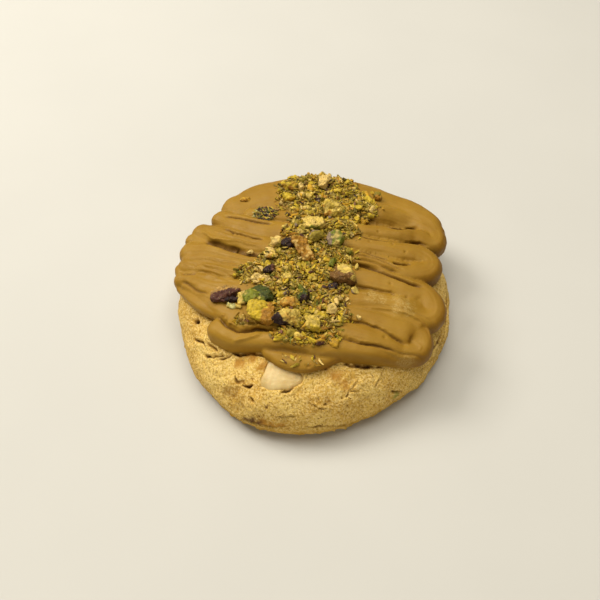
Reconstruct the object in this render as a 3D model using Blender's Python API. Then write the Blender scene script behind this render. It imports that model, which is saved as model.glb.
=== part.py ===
"""A pistachio cookie, in metres with +Z up.

A thick round of rough dough stands on its flat underside at z = 0.  A lump of white
chocolate sits in a pocket in its near shoulder.  Nut cream is piped over the top in a
close zigzag of fat passes, and chopped pistachios are pressed into the cream.
The origin is the centre of the underside, and -Y is the side with the bare dough.
Sizes below are in millimetres, and every mesh is scaled to metres as it is made.
"""

import math
import random

import bmesh
import bpy
import numpy as np
from mathutils import Matrix, Vector, noise
from mathutils.bvhtree import BVHTree

MM = 0.001
GAP = 0.3                       # clearance between pieces that lie against each other

# Dough: radius and height of the round, then its side view as fractions of both
DOUGH_RADIUS = 45.6
DOUGH_HEIGHT = 20.0
DOUGH_PROFILE = [
    (0.00, 1.000), (0.30, 0.998), (0.50, 0.982), (0.66, 0.940), (0.77, 0.885),
    (0.85, 0.820), (0.91, 0.730), (0.955, 0.615), (0.985, 0.475), (1.00, 0.330),
    (0.998, 0.200), (0.985, 0.095), (0.965, 0.025), (0.950, 0.000),
]
NEAR_SIDE = (-190.0, 10.0)      # azimuths of the bare side, where the mesh is finer
NEAR_SEGMENTS = 56
FAR_SEGMENTS = 22
DOUGH_RINGS = 19
RING_CROWDING = 0.8             # below 1 the rings crowd towards the side, where the crust shows
FOOT_FADE = 3.0                 # the crags die out this far above the foot
# Swellings of the outline: azimuth and spread in degrees, then how far out
DOUGH_BULGES = [
    (-112.0, 26.0, 2.6), (16.0, 26.0, 1.5), (-60.0, 16.0, -1.2),
    (-172.0, 20.0, -0.9), (90.0, 45.0, -1.0),
]
DOUGH_LUMPS = [(11.0, 0.55), (4.6, 0.35)]       # wavelength and height of the crags
# Cracks in the crust: the line that each one follows
CRACK_DEPTH = 0.8
CRACK_WIDTH = 1.1
CRACK_FALL = 0.8                # share of a crack's distance along the normal that is let go
CRACKS = {
    "left_upper": [(-34.7, -24.8, 14.0), (-31.9, -27.4, 14.6), (-26.5, -27.8, 16.6)],
    "left_side": [(-37.4, -19.6, 13.4), (-35.2, -21.8, 14.6), (-32.7, -24.2, 15.4)],
    "left_shoulder": [(-37.0, -14.4, 15.8), (-34.5, -16.3, 17.0)],
    "left_nick": [(-23.5, -33.9, 15.8), (-22.6, -35.7, 15.3), (-20.4, -36.4, 15.4)],
    "middle_nick": [(-21.0, -36.7, 15.3), (-19.2, -38.0, 15.2), (-17.8, -37.2, 15.9)],
    "below_lump": [(-10.4, -40.6, 16.0), (-7.2, -39.9, 16.9), (-3.4, -37.6, 17.0)],
    "right_slant": [(8.4, -42.2, 13.8), (10.7, -39.2, 14.9), (14.1, -34.7, 16.6)],
    "right_flake": [(22.8, -36.7, 11.2), (25.2, -36.1, 8.8), (27.9, -34.7, 8.1)],
    "right_edge": [(44.7, 0.5, 12.0), (44.5, -5.1, 11.2), (43.5, -10.6, 10.5), (42.3, -15.7, 9.9)],
}

# Cream: half height of a piped pass, and how far its middle rides above the dough
CREAM_HALF_HEIGHT = 4.0
CREAM_LIFT = 1.1
CREAM_EDGE_LEVEL = 16.0
CREAM_VOXEL = 0.75
CREAM_SOFTEN = 2                # rounds of smoothing that melt the passes together
CREAM_TRIANGLES = 5000
PATH_STEP = 1.6
LEVEL_STATIONS = 5              # stations over which the height of a pass is evened out
PASS_SIDES = 20
PASS_SQUARENESS = 0.74          # below 1 the section of a pass is flatter on top than an ellipse
PASS_END_ANGLES = (28.0, 55.0, 80.0)
THIN_PASS_HEIGHT = 0.25         # share of the height that the thinnest pass keeps
FULL_WIDTH = 3.6                # passes at least this half width have the full height

# The piped passes: points of each centre line with the half width there
CREAM_PASSES = {
    "far_lobe": [
        (-25.2, 32.8, 7.0), (-17.5, 34.8, 9.8), (-6.0, 34.6, 12.0), (5.0, 34.4, 12.0),
        (16.0, 33.8, 10.8), (25.0, 32.0, 9.6), (33.0, 29.0, 8.4), (39.4, 24.4, 6.6),
    ],
    "far_flank": [(-21.0, 27.0, 3.0), (-14.0, 24.6, 3.2), (-6.0, 23.8, 3.2), (2.0, 24.0, 2.8)],
    "first_turn": [
        (10.0, 26.2, 5.0), (20.0, 26.8, 5.2), (29.0, 26.6, 5.2), (36.0, 24.4, 4.9),
        (41.0, 20.8, 4.8), (40.6, 16.6, 4.9), (34.0, 16.8, 4.6), (26.0, 17.4, 4.8),
        (15.0, 17.8, 4.2), (3.0, 17.0, 4.6), (-9.0, 16.8, 4.6), (-18.0, 18.6, 4.7),
        (-26.0, 22.8, 4.7), (-31.2, 26.8, 4.0),
    ],
    "second_turn": [
        (-37.6, 21.0, 4.0), (-32.0, 17.8, 4.9), (-25.5, 13.8, 5.2), (-18.0, 10.7, 4.7),
        (-8.0, 10.0, 4.2), (4.0, 11.4, 4.1), (13.0, 11.8, 4.1), (21.0, 10.2, 4.5),
        (28.0, 8.8, 5.0), (34.0, 8.4, 4.9), (37.8, 5.6, 4.8), (36.4, 1.8, 4.6),
        (31.0, 0.4, 4.6), (25.0, 2.0, 4.4), (17.0, 4.4, 4.1), (7.0, 5.8, 4.0),
        (-4.0, 4.8, 3.9), (-15.0, 3.6, 3.8), (-25.0, 5.6, 3.7), (-32.0, 9.0, 4.2),
        (-40.6, 12.4, 4.3),
    ],
    "thin_pass": [(-41.0, 18.0, 2.6), (-33.6, 14.2, 2.4), (-26.0, 9.6, 2.2), (-19.0, 6.8, 2.0)],
    "third_turn": [
        (-41.4, 5.6, 3.6), (-34.0, 3.4, 3.7), (-27.0, 0.0, 4.3), (-17.0, -1.6, 4.6),
        (-7.0, -1.4, 4.9), (4.0, -1.6, 5.4), (14.0, -3.0, 5.4), (22.0, -4.8, 5.2),
        (29.0, -6.6, 5.2), (34.4, -9.4, 6.2), (34.6, -14.6, 6.2), (28.0, -13.6, 4.9),
        (20.0, -12.4, 4.4), (10.0, -11.4, 4.7), (-2.0, -9.8, 4.7), (-14.0, -7.8, 4.6),
        (-24.0, -6.8, 4.6), (-32.0, -4.8, 4.2), (-38.5, -0.8, 3.8), (-42.4, 0.8, 3.0),
    ],
    "left_sheet": [(-40.4, 9.0, 3.4), (-33.0, 6.2, 3.8), (-25.0, 2.8, 4.2), (-17.0, 1.0, 3.8)],
    "left_sheet_low": [(-39.6, -3.4, 2.8), (-32.0, -9.0, 3.4), (-24.0, -11.8, 4.0)],
    "knob": [(-43.0, 5.2, 2.6), (-42.2, 3.0, 2.8)],
    "fourth_turn": [
        (-41.8, -4.4, 3.5), (-36.0, -9.8, 4.6), (-29.0, -13.8, 5.3), (-21.0, -17.0, 6.6),
        (-11.0, -17.0, 6.4), (-1.0, -16.0, 5.0), (8.0, -16.6, 4.0), (16.0, -18.0, 4.2),
        (24.0, -20.2, 4.9), (30.2, -22.0, 5.2), (30.6, -25.8, 4.6), (26.0, -26.8, 3.7),
        (18.0, -25.0, 4.0), (10.0, -22.9, 4.3), (2.0, -20.8, 4.4), (-6.0, -20.8, 4.2),
    ],
    "near_pass": [
        (-28.6, -21.2, 4.4), (-24.0, -24.8, 3.9), (-16.0, -26.2, 3.5), (-8.0, -26.4, 3.7),
        (0.0, -27.0, 4.2), (7.5, -27.8, 3.9), (13.5, -28.6, 3.3), (20.0, -29.5, 2.5),
        (26.0, -30.4, 1.6), (32.6, -31.3, 0.5),
    ],
}
# The drip is a thin sheet that runs down over the shoulder below the near pass
CREAM_DRIP = [
    (-12.6, -27.4, 4.2), (-8.4, -29.0, 5.4), (-3.5, -29.4, 6.1), (1.4, -28.8, 5.4),
    (5.6, -28.0, 4.4),
]
DRIP_HALF_HEIGHT = 2.2
DRIP_LIFT = 0.6

# White chocolate: outline of the lump in the near shoulder, seen from above
LUMP_OUTLINE = [
    (-15.1, -31.0), (-12.2, -29.9), (-7.6, -30.6), (-4.2, -34.0), (-3.2, -37.4), (-6.6, -39.7),
    (-10.6, -40.0), (-13.6, -39.2), (-15.4, -36.9), (-14.4, -34.2),
]
LUMP_PROUD = 0.5                # how far it stands out of the dough
LUMP_SIDE = [                   # share of the outline and depth under the top, down its side
    (0.5, 0.0), (0.86, 0.2), (1.0, 1.3), (1.0, 3.4), (0.7, 5.0),
]
LUMP_SPOKES = 18
POCKET_RISE = 2.5               # the pocket is cut clear through the crust above the lump

# Chopped pistachios: place, length, width and height of the larger pieces
LARGE_NUTS = [
    (-7.4, 38.0, 4.5, 3.3, 3.0), (-8.0, 32.8, 4.0, 2.9, 2.3), (-3.7, 37.4, 2.6, 3.7, 3.3),
    (-0.7, 43.6, 2.9, 2.4, 1.9), (4.6, 38.9, 4.5, 5.4, 5.0), (7.2, 25.9, 7.4, 6.8, 5.0),
    (0.3, 19.4, 7.4, 4.8, 3.8), (1.4, 11.6, 5.6, 4.7, 4.0), (7.3, 10.6, 5.8, 6.1, 5.0),
    (-3.3, 8.1, 6.1, 9.3, 5.0), (-11.6, 9.4, 4.2, 4.2, 4.0), (-8.6, 9.6, 3.8, 3.5, 3.5),
    (-13.5, 4.4, 4.2, 3.1, 2.5), (-17.3, 28.5, 8.3, 5.3, 2.6), (15.4, 26.9, 4.2, 3.1, 2.5),
    (23.3, 34.9, 2.9, 3.4, 2.7), (9.6, 35.7, 3.8, 3.1, 2.5), (12.2, 40.9, 3.5, 2.7, 2.2),
    (14.6, 37.6, 2.9, 2.4, 1.9), (2.5, 31.0, 2.2, 2.0, 1.8), (-0.8, 33.0, 3.2, 2.7, 2.2),
    (-1.7, 26.2, 3.5, 2.8, 2.0), (13.4, 17.2, 3.2, 2.2, 1.3), (-5.9, 15.5, 2.6, 1.5, 0.9),
    (9.2, -3.7, 8.3, 7.0, 5.0), (10.9, 2.9, 1.9, 2.0, 1.8), (4.7, 2.5, 2.9, 2.4, 1.9),
    (-16.7, -5.4, 6.4, 3.2, 2.2), (-14.0, -1.3, 2.9, 3.5, 3.5), (-16.8, -1.0, 4.8, 1.8, 1.2),
    (-16.3, -10.3, 8.0, 6.0, 5.0), (-21.5, -9.9, 2.9, 3.8, 3.0), (-15.8, -17.4, 9.0, 7.8, 5.0),
    (-8.5, -20.4, 9.6, 5.0, 4.5), (-7.1, -15.1, 5.8, 4.1, 3.4), (-2.9, -12.6, 3.8, 5.1, 5.0),
    (5.4, -17.4, 3.4, 4.1, 3.4), (2.1, -19.2, 4.8, 3.1, 2.5), (-0.1, -22.9, 4.8, 5.0, 4.5),
    (-8.0, -4.4, 3.2, 3.1, 2.5), (-0.0, -4.9, 3.5, 2.7, 2.2), (-20.3, 7.0, 2.6, 1.9, 1.5),
    (2.2, -2.8, 2.9, 2.1, 1.5), (-0.6, -17.9, 3.5, 2.7, 2.2), (-27.3, -9.5, 8.7, 3.8, 3.0),
]
# Bands of small pieces: centre, half sizes and how many
SMALL_NUT_BANDS = [
    ((4.0, 33.0), (13.0, 9.0), 16), ((-2.0, 2.0), (11.0, 8.0), 14), ((-5.0, -15.0), (12.0, 8.0), 12),
]
SMALL_NUT_SIZE = (2.0, 3.2)
LARGE_NUT_POINTS = 13           # points whose hull makes a piece
SMALL_NUT_POINTS = 9
NUT_ROUNDNESS = 0.6             # 1 is an egg, and less is boxier
NUT_REACH = (0.86, 1.06)        # how unevenly its points stand out
NUT_TURN = 0.5
NUT_LEAN = 0.3
NUT_SINK = 0.22                 # share of a piece's height that its middle stands over the cream
NUT_SEED = 41
RAY_START = 60.0


def smooth_path(points, step):
    """Rows read evenly along a Catmull-Rom curve through the given rows."""
    rows = np.array(points, float)
    rows = np.vstack([2 * rows[0] - rows[1], rows, 2 * rows[-1] - rows[-2]])
    out = []
    for a, b, c, d in zip(rows[:-3], rows[1:-2], rows[2:-1], rows[3:]):
        count = max(2, round(float(np.hypot(*(c - b)[:2])) / step))
        for t in np.arange(count) / count:
            out.append(0.5 * (2 * b + (c - a) * t + (2 * a - 5 * b + 4 * c - d) * t ** 2
                              + (3 * b - a - 3 * c + d) * t ** 3))
    out.append(rows[-2])
    return np.array(out)


def outline_radius(azimuth):
    """Radius of the dough's bulge at an azimuth in radians."""
    radius = DOUGH_RADIUS
    for centre, spread, amount in DOUGH_BULGES:
        turn = (math.degrees(azimuth) - centre + 180.0) % 360.0 - 180.0
        radius += amount * math.exp(-(turn / spread) ** 2)
    return radius


UPPER_SIDE = smooth_path(DOUGH_PROFILE, 0.02)
UPPER_SIDE = UPPER_SIDE[:int(np.argmax(UPPER_SIDE[:, 0])) + 1]


def dough_top(x, y):
    """Height of the dough's upper side over the point (x, y)."""
    fraction = math.hypot(x, y) / outline_radius(math.atan2(y, x))
    return DOUGH_HEIGHT * float(np.interp(fraction, UPPER_SIDE[:, 0], UPPER_SIDE[:, 1]))


def crust_rise(place, normal):
    """How far the rough crust stands out at a point, less the cracks that cross it."""
    rise = sum(height * noise.noise(place / wavelength) for wavelength, height in DOUGH_LUMPS)
    nearest = math.inf
    for line in CRACKS.values():
        for start, end in zip(line[:-1], line[1:]):
            start = Vector(start)
            run = Vector(end) - start
            share = min(1.0, max(0.0, (place - start).dot(run) / run.length_squared))
            offset = start + share * run - place
            nearest = min(nearest, (offset - CRACK_FALL * offset.dot(normal) * normal).length)
    return rise - CRACK_DEPTH * math.exp(-(nearest / CRACK_WIDTH) ** 2)


def dough_azimuths():
    """Azimuths of the grid's spokes, in radians, closer together on the bare side."""
    low, high = NEAR_SIDE
    near = np.linspace(low, high, NEAR_SEGMENTS, endpoint=False)
    far = np.linspace(high, low + 360.0, FAR_SEGMENTS, endpoint=False)
    return np.radians(np.concatenate([near, far]))


def make_object(name, bm, material, smooth=True):
    """Scale a millimetre mesh to metres and link it as a named object."""
    bmesh.ops.recalc_face_normals(bm, faces=bm.faces)
    bmesh.ops.scale(bm, vec=(MM, MM, MM), verts=bm.verts)
    mesh = bpy.data.meshes.new(name)
    bm.to_mesh(mesh)
    bm.free()
    if smooth:
        mesh.shade_smooth()
    obj = bpy.data.objects.new(name, mesh)
    bpy.context.scene.collection.objects.link(obj)
    if material:
        mesh.materials.append(material)
    return obj


def make_material(name, colour, roughness):
    """Principled material of one plain colour."""
    material = bpy.data.materials.new(name)
    material.use_nodes = True
    shader = material.node_tree.nodes["Principled BSDF"]
    shader.inputs["Base Color"].default_value = (*colour, 1.0)
    shader.inputs["Roughness"].default_value = roughness
    return material


def apply_modifiers(obj):
    """Replace an object's mesh with its evaluated mesh and drop its modifiers."""
    graph = bpy.context.evaluated_depsgraph_get()
    mesh = bpy.data.meshes.new_from_object(obj.evaluated_get(graph))
    obj.modifiers.clear()
    obj.data = mesh


def boolean(obj, operation, other=None, collection=None):
    """Join or cut an object with another object or with a collection, and apply it."""
    modifier = obj.modifiers.new(operation.lower(), "BOOLEAN")
    modifier.operation = operation
    modifier.solver = "EXACT"
    if collection:
        modifier.operand_type = "COLLECTION"
        modifier.collection = collection
    else:
        modifier.object = other
    apply_modifiers(obj)


def remove_objects(objects):
    """Delete objects that have done their work."""
    for obj in list(objects):
        bpy.data.objects.remove(obj, do_unlink=True)


def dough_solid(name, material, grow=0.0):
    """The round of dough on a polar grid, grown outward above its foot by a clearance."""
    bm = bmesh.new()
    side = smooth_path(DOUGH_PROFILE, 0.01)
    along = np.concatenate([[0.0], np.cumsum(np.hypot(*np.diff(side, axis=0).T))])
    places = along[-1] * np.linspace(0.0, 1.0, DOUGH_RINGS + 1)[1:] ** RING_CROWDING
    azimuths = dough_azimuths()
    rings = []
    for place in places:
        fraction = np.interp(place, along, side[:, 0])
        height = DOUGH_HEIGHT * np.interp(place, along, side[:, 1])
        ring = []
        for azimuth in azimuths:
            radius = outline_radius(azimuth) * fraction
            x = radius * math.cos(azimuth)
            y = radius * math.sin(azimuth)
            ring.append(bm.verts.new((x, y, height)))
        rings.append(ring)
    middle = bm.verts.new((0.0, 0.0, DOUGH_HEIGHT))
    foot = bm.verts.new((0.0, 0.0, 0.0))
    for k in range(len(azimuths)):
        j = (k + 1) % len(azimuths)
        bm.faces.new((middle, rings[0][k], rings[0][j]))
        bm.faces.new((foot, rings[-1][j], rings[-1][k]))
        for inner, outer in zip(rings[:-1], rings[1:]):
            bm.faces.new((inner[k], outer[k], outer[j], inner[j]))
    bm.normal_update()
    for ring in rings[:-1]:
        for vert in ring:
            rise = crust_rise(vert.co, vert.normal) * min(1.0, vert.co.z / FOOT_FADE)
            vert.co += vert.normal * (rise + grow)
    middle.co.z += grow
    bmesh.ops.triangulate(bm, faces=bm.faces)
    return make_object(name, bm, material)


def squared(value):
    """Cosine or sine of an ellipse turned into that of a squarer oval."""
    return math.copysign(abs(value) ** PASS_SQUARENESS, value)


def sweep(bm, points, half_height, lift, edge_level=CREAM_EDGE_LEVEL):
    """Add one piped pass: a flattened oval swept along a path, with rounded ends."""
    path = smooth_path(points, PATH_STEP)
    level = [max(dough_top(x, y) + lift, edge_level) for x, y, _ in path]
    evened = np.pad(level, LEVEL_STATIONS // 2, mode="edge")
    level = np.convolve(evened, np.ones(LEVEL_STATIONS) / LEVEL_STATIONS, mode="valid")
    heading = np.gradient(path[:, :2], axis=0)
    heading /= np.linalg.norm(heading, axis=1)[:, None]
    stations = []
    for angle in np.radians(PASS_END_ANGLES[::-1]):
        back = path[0, :2] - heading[0] * path[0, 2] * math.sin(angle)
        stations.append((back, heading[0], path[0, 2], math.cos(angle), level[0]))
    for row, direction, height in zip(path, heading, level):
        stations.append((row[:2], direction, row[2], 1.0, height))
    for angle in np.radians(PASS_END_ANGLES):
        ahead = path[-1, :2] + heading[-1] * path[-1, 2] * math.sin(angle)
        stations.append((ahead, heading[-1], path[-1, 2], math.cos(angle), level[-1]))
    loops = []
    for place, direction, width, share, height in stations:
        side = Vector((-direction[1], direction[0], 0.0))
        thin = THIN_PASS_HEIGHT + (1.0 - THIN_PASS_HEIGHT) * width / FULL_WIDTH
        tall = half_height * min(1.0, thin)
        loop = []
        for k in range(PASS_SIDES):
            angle = math.tau * k / PASS_SIDES
            across = side * (width * share * squared(math.cos(angle)))
            up = Vector((0.0, 0.0, tall * share * squared(math.sin(angle))))
            loop.append(bm.verts.new(Vector((*place, height)) + across + up))
        loops.append(loop)
    for first, second in zip(loops[:-1], loops[1:]):
        for k in range(PASS_SIDES):
            j = (k + 1) % PASS_SIDES
            bm.faces.new((first[k], first[j], second[j], second[k]))
    bm.faces.new(list(reversed(loops[0])))
    bm.faces.new(loops[-1])


def cream_solid(material):
    """All piped passes and the drip run together into one body."""
    bm = bmesh.new()
    for points in CREAM_PASSES.values():
        sweep(bm, points, CREAM_HALF_HEIGHT, CREAM_LIFT)
    sweep(bm, CREAM_DRIP, DRIP_HALF_HEIGHT, DRIP_LIFT, 0.0)
    cream = make_object("frosting", bm, material)
    remesh = cream.modifiers.new("merge", "REMESH")
    remesh.mode = "VOXEL"
    remesh.voxel_size = CREAM_VOXEL * MM
    apply_modifiers(cream)
    soften = cream.modifiers.new("soften", "SMOOTH")
    soften.factor = 0.5
    soften.iterations = CREAM_SOFTEN
    thin = cream.modifiers.new("thin", "DECIMATE")
    thin.ratio = CREAM_TRIANGLES / sum(len(face.vertices) - 2 for face in cream.data.polygons)
    apply_modifiers(cream)
    return cream


def lump_solid(name, material, grow=0.0, rise=0.0):
    """The white chocolate lump: a slab with rounded edges that follows the shoulder."""
    bm = bmesh.new()
    middle = np.mean(LUMP_OUTLINE, axis=0)
    outline = smooth_path(LUMP_OUTLINE + LUMP_OUTLINE[:1], 1.0) - middle
    azimuths = np.arctan2(outline[:, 1], outline[:, 0])
    order = np.argsort(azimuths)
    spokes = np.linspace(-math.pi, math.pi, LUMP_SPOKES, endpoint=False)
    reach = np.interp(spokes, azimuths[order], np.hypot(*outline.T)[order], period=math.tau)
    loops = []
    for row, (share, depth) in enumerate(LUMP_SIDE):
        lift = grow + rise if row < 2 else 0.0
        drop = grow if row == len(LUMP_SIDE) - 1 else 0.0
        loop = []
        for spoke, radius in zip(spokes, reach):
            x = middle[0] + (share * radius + grow) * math.cos(spoke)
            y = middle[1] + (share * radius + grow) * math.sin(spoke)
            z = dough_top(x, y) + LUMP_PROUD - depth + lift - drop
            loop.append(bm.verts.new((x, y, z)))
        loops.append(loop)
    for upper, lower in zip(loops[:-1], loops[1:]):
        for k in range(LUMP_SPOKES):
            j = (k + 1) % LUMP_SPOKES
            bm.faces.new((upper[k], lower[k], lower[j], upper[j]))
    bm.faces.new(loops[0])
    bm.faces.new(list(reversed(loops[-1])))
    bmesh.ops.triangulate(bm, faces=bm.faces)
    return make_object(name, bm, material)


def nut_piece(rng, name, place, sizes, points):
    """One chopped piece: the hull of a few points on an uneven block."""
    bm = bmesh.new()
    for _ in range(points):
        direction = Vector(rng.gauss(0.0, 1.0) for _ in range(3)).normalized()
        blocky = Vector(math.copysign(abs(c) ** NUT_ROUNDNESS, c) for c in direction)
        reach = rng.uniform(*NUT_REACH)
        bm.verts.new(Vector(0.5 * reach * c * s for c, s in zip(blocky, sizes)))
    hull = bmesh.ops.convex_hull(bm, input=bm.verts)
    spare = {item for item in hull["geom_interior"] + hull["geom_unused"]
             if isinstance(item, bmesh.types.BMVert)}
    bmesh.ops.delete(bm, geom=list(spare), context="VERTS")
    turn = Matrix.Rotation(rng.uniform(-NUT_TURN, NUT_TURN), 4, "Z")
    turn = turn @ Matrix.Rotation(rng.uniform(-NUT_LEAN, NUT_LEAN), 4, "X")
    for vert in bm.verts:
        vert.co = turn @ vert.co + Vector(place)
    return make_object(name, bm, None, smooth=False)


def surface_height(tree, x, y):
    """Height of the cream under the point (x, y), in millimetres."""
    hit = tree.ray_cast(Vector((x, y, RAY_START)) * MM, Vector((0.0, 0.0, -1.0)))[0]
    return hit.z / MM if hit else None


def press_nuts(cream):
    """Fuse the chopped pistachios to the cream that they are pressed into."""
    tree = BVHTree.FromObject(cream, bpy.context.evaluated_depsgraph_get())
    rng = random.Random(NUT_SEED)
    nuts = bpy.data.collections.new("nuts")
    bpy.context.scene.collection.children.link(nuts)
    places = [(x, y, (length, width, height), LARGE_NUT_POINTS)
              for x, y, length, width, height in LARGE_NUTS]
    for (mid_x, mid_y), (half_x, half_y), count in SMALL_NUT_BANDS:
        for _ in range(count):
            size = tuple(rng.uniform(*SMALL_NUT_SIZE) for _ in range(3))
            x = mid_x + half_x * rng.uniform(-1.0, 1.0)
            y = mid_y + half_y * rng.uniform(-1.0, 1.0)
            places.append((x, y, size, SMALL_NUT_POINTS))
    for index, (x, y, sizes, points) in enumerate(places):
        height = surface_height(tree, x, y)
        if height is None:
            continue
        piece = nut_piece(rng, f"nut_{index}", (x, y, height + NUT_SINK * sizes[2]), sizes, points)
        bpy.context.scene.collection.objects.unlink(piece)
        nuts.objects.link(piece)
    boolean(cream, "UNION", collection=nuts)
    remove_objects(nuts.objects)
    bpy.data.collections.remove(nuts)


def main():
    for obj in list(bpy.data.objects):
        bpy.data.objects.remove(obj, do_unlink=True)
    dough_material = make_material("dough", (0.62, 0.42, 0.17), 0.85)
    cream_material = make_material("cream", (0.42, 0.24, 0.05), 0.45)
    chocolate_material = make_material("white_chocolate", (0.87, 0.66, 0.33), 0.5)

    cookie = dough_solid("cookie", dough_material)
    pocket = lump_solid("pocket", None, grow=GAP, rise=POCKET_RISE)
    boolean(cookie, "DIFFERENCE", other=pocket)
    lump_solid("white_chocolate", chocolate_material)

    cream = cream_solid(cream_material)
    press_nuts(cream)
    clearance = dough_solid("clearance", None, grow=GAP)
    boolean(cream, "DIFFERENCE", other=clearance)
    bed = lump_solid("bed", None, grow=GAP)
    boolean(cream, "DIFFERENCE", other=bed)
    remove_objects([clearance, pocket, bed])


main()
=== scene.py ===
import itertools
import math
import random

import bmesh
import bpy
import numpy as np
from mathutils import Matrix, Vector, noise
from mathutils.bvhtree import BVHTree
from mathutils.kdtree import KDTree


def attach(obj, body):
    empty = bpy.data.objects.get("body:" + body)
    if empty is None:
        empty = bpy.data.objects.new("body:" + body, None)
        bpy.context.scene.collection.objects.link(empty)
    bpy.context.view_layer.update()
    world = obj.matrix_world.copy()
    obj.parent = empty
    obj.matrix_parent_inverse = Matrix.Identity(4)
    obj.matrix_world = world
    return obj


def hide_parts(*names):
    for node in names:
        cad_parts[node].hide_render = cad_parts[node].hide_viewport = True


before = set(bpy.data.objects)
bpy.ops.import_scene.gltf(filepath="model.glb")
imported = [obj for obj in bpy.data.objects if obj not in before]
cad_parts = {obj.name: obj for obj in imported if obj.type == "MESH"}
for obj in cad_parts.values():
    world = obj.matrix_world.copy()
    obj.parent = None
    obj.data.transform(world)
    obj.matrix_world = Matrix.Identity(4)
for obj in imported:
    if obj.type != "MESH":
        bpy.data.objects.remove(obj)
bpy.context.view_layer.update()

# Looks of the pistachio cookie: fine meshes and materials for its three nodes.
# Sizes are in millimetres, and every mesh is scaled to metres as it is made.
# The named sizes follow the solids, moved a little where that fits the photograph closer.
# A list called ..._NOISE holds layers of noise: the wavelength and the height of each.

MM = 0.001
ABOVE_ALL = 60.0                # rays that look for a surface start this high

# ---- Dough: radius and height of the round, then its side view as fractions of both
DOUGH_RADIUS = 45.6
DOUGH_HEIGHT = 20.0
DOUGH_PROFILE = [
    (0.00, 1.000), (0.30, 0.998), (0.50, 0.982), (0.66, 0.940), (0.77, 0.885),
    (0.85, 0.820), (0.91, 0.730), (0.955, 0.615), (0.985, 0.475), (1.00, 0.330),
    (0.998, 0.200), (0.985, 0.095), (0.965, 0.025), (0.950, 0.000),
]
DOUGH_BULGES = [
    (-112.0, 26.0, 2.6), (16.0, 26.0, 1.5), (-60.0, 16.0, -1.2),
    (-172.0, 20.0, -0.9), (90.0, 45.0, -1.0),
]
DOUGH_LUMPS = [(11.0, 0.55), (4.6, 0.35)]
SIDE_STEP = 0.004               # steps along the side view, as a share of the radius
TOP_STEP = 0.01                 # and coarser ones to read the height of the top
DOUGH_SPOKES = 780
HIDDEN_RADIUS = 25.0            # the cream covers the dough inside this radius
HIDDEN_RINGS = 8
RING_STEP = 0.34
UNDERSIDE_RINGS = (0.985, 0.9, 0.6)
FOOT_FADE = 0.9                 # the relief dies out this far above the foot
LEDGE_HEIGHT = 0.9              # the thin, ragged ledge that spreads at the foot
LEDGE_REACH = 0.9
LEDGE_SPAN = 0.6
LEDGE_MEAN = 0.45               # the noise swings round this share of the reach
LEDGE_NOISE = [(2.4, 0.8), (0.9, 0.7)]
CREASE_HEIGHT = 2.4             # the broken crease above it
CREASE_DEPTH = 1.5
CREASE_SPAN = 0.45
CREASE_MEAN = 0.5
CREASE_NOISE = [(3.4, 1.4)]
FOOT_LEVEL_NOISE = [(2.2, 0.7)]
FOOT_STRENGTH = 0.55            # both are stronger on some sides than on others
FOOT_STRENGTH_NOISE = [(17.0, 1.5)]
FOOT_STRENGTH_LIMITS = (0.1, 1.2)
BAND_START = (0.7, 1.6)         # the crust is browner above these heights
BAND_END = (5.8, 3.8)           # and below these
BAND_SHARE = 0.75
BAND_NOISE = [(3.0, 1.0)]

# Crust relief: crags, sandy grains and pits
CRUST_NOISE = [(8.5, 0.44), (3.4, 0.24), (1.6, 0.17), (0.8, 0.12)]
CRAGGY_NOISE = [(13.0, 0.6)]    # the crags are stronger in some patches
GRAIN_SIZE = 0.80
GRAIN_HEIGHT = 0.21
PIT_SPACING = 1.9
PIT_RADIUS = 0.32
PIT_DEPTH = 1.0
PIT_SHARE = 0.40
PIT_WANDER = (0.9, 0.25)        # pits are pulled out of round: wavelength and amount

SEAT_REACH = 12.0               # pocket round the lump
SEAT_LOWEST = 10.0
SEAT_DEPTH = 1.2
SEAT_WALL = (0.90, 0.99)        # shares of the lump's outline where the pocket's wall stands
SEAT_CALM = (0.90, 1.15)        # and where the crust calms down towards it
SEAT_NOISE = [(1.3, 0.06)]

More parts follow.
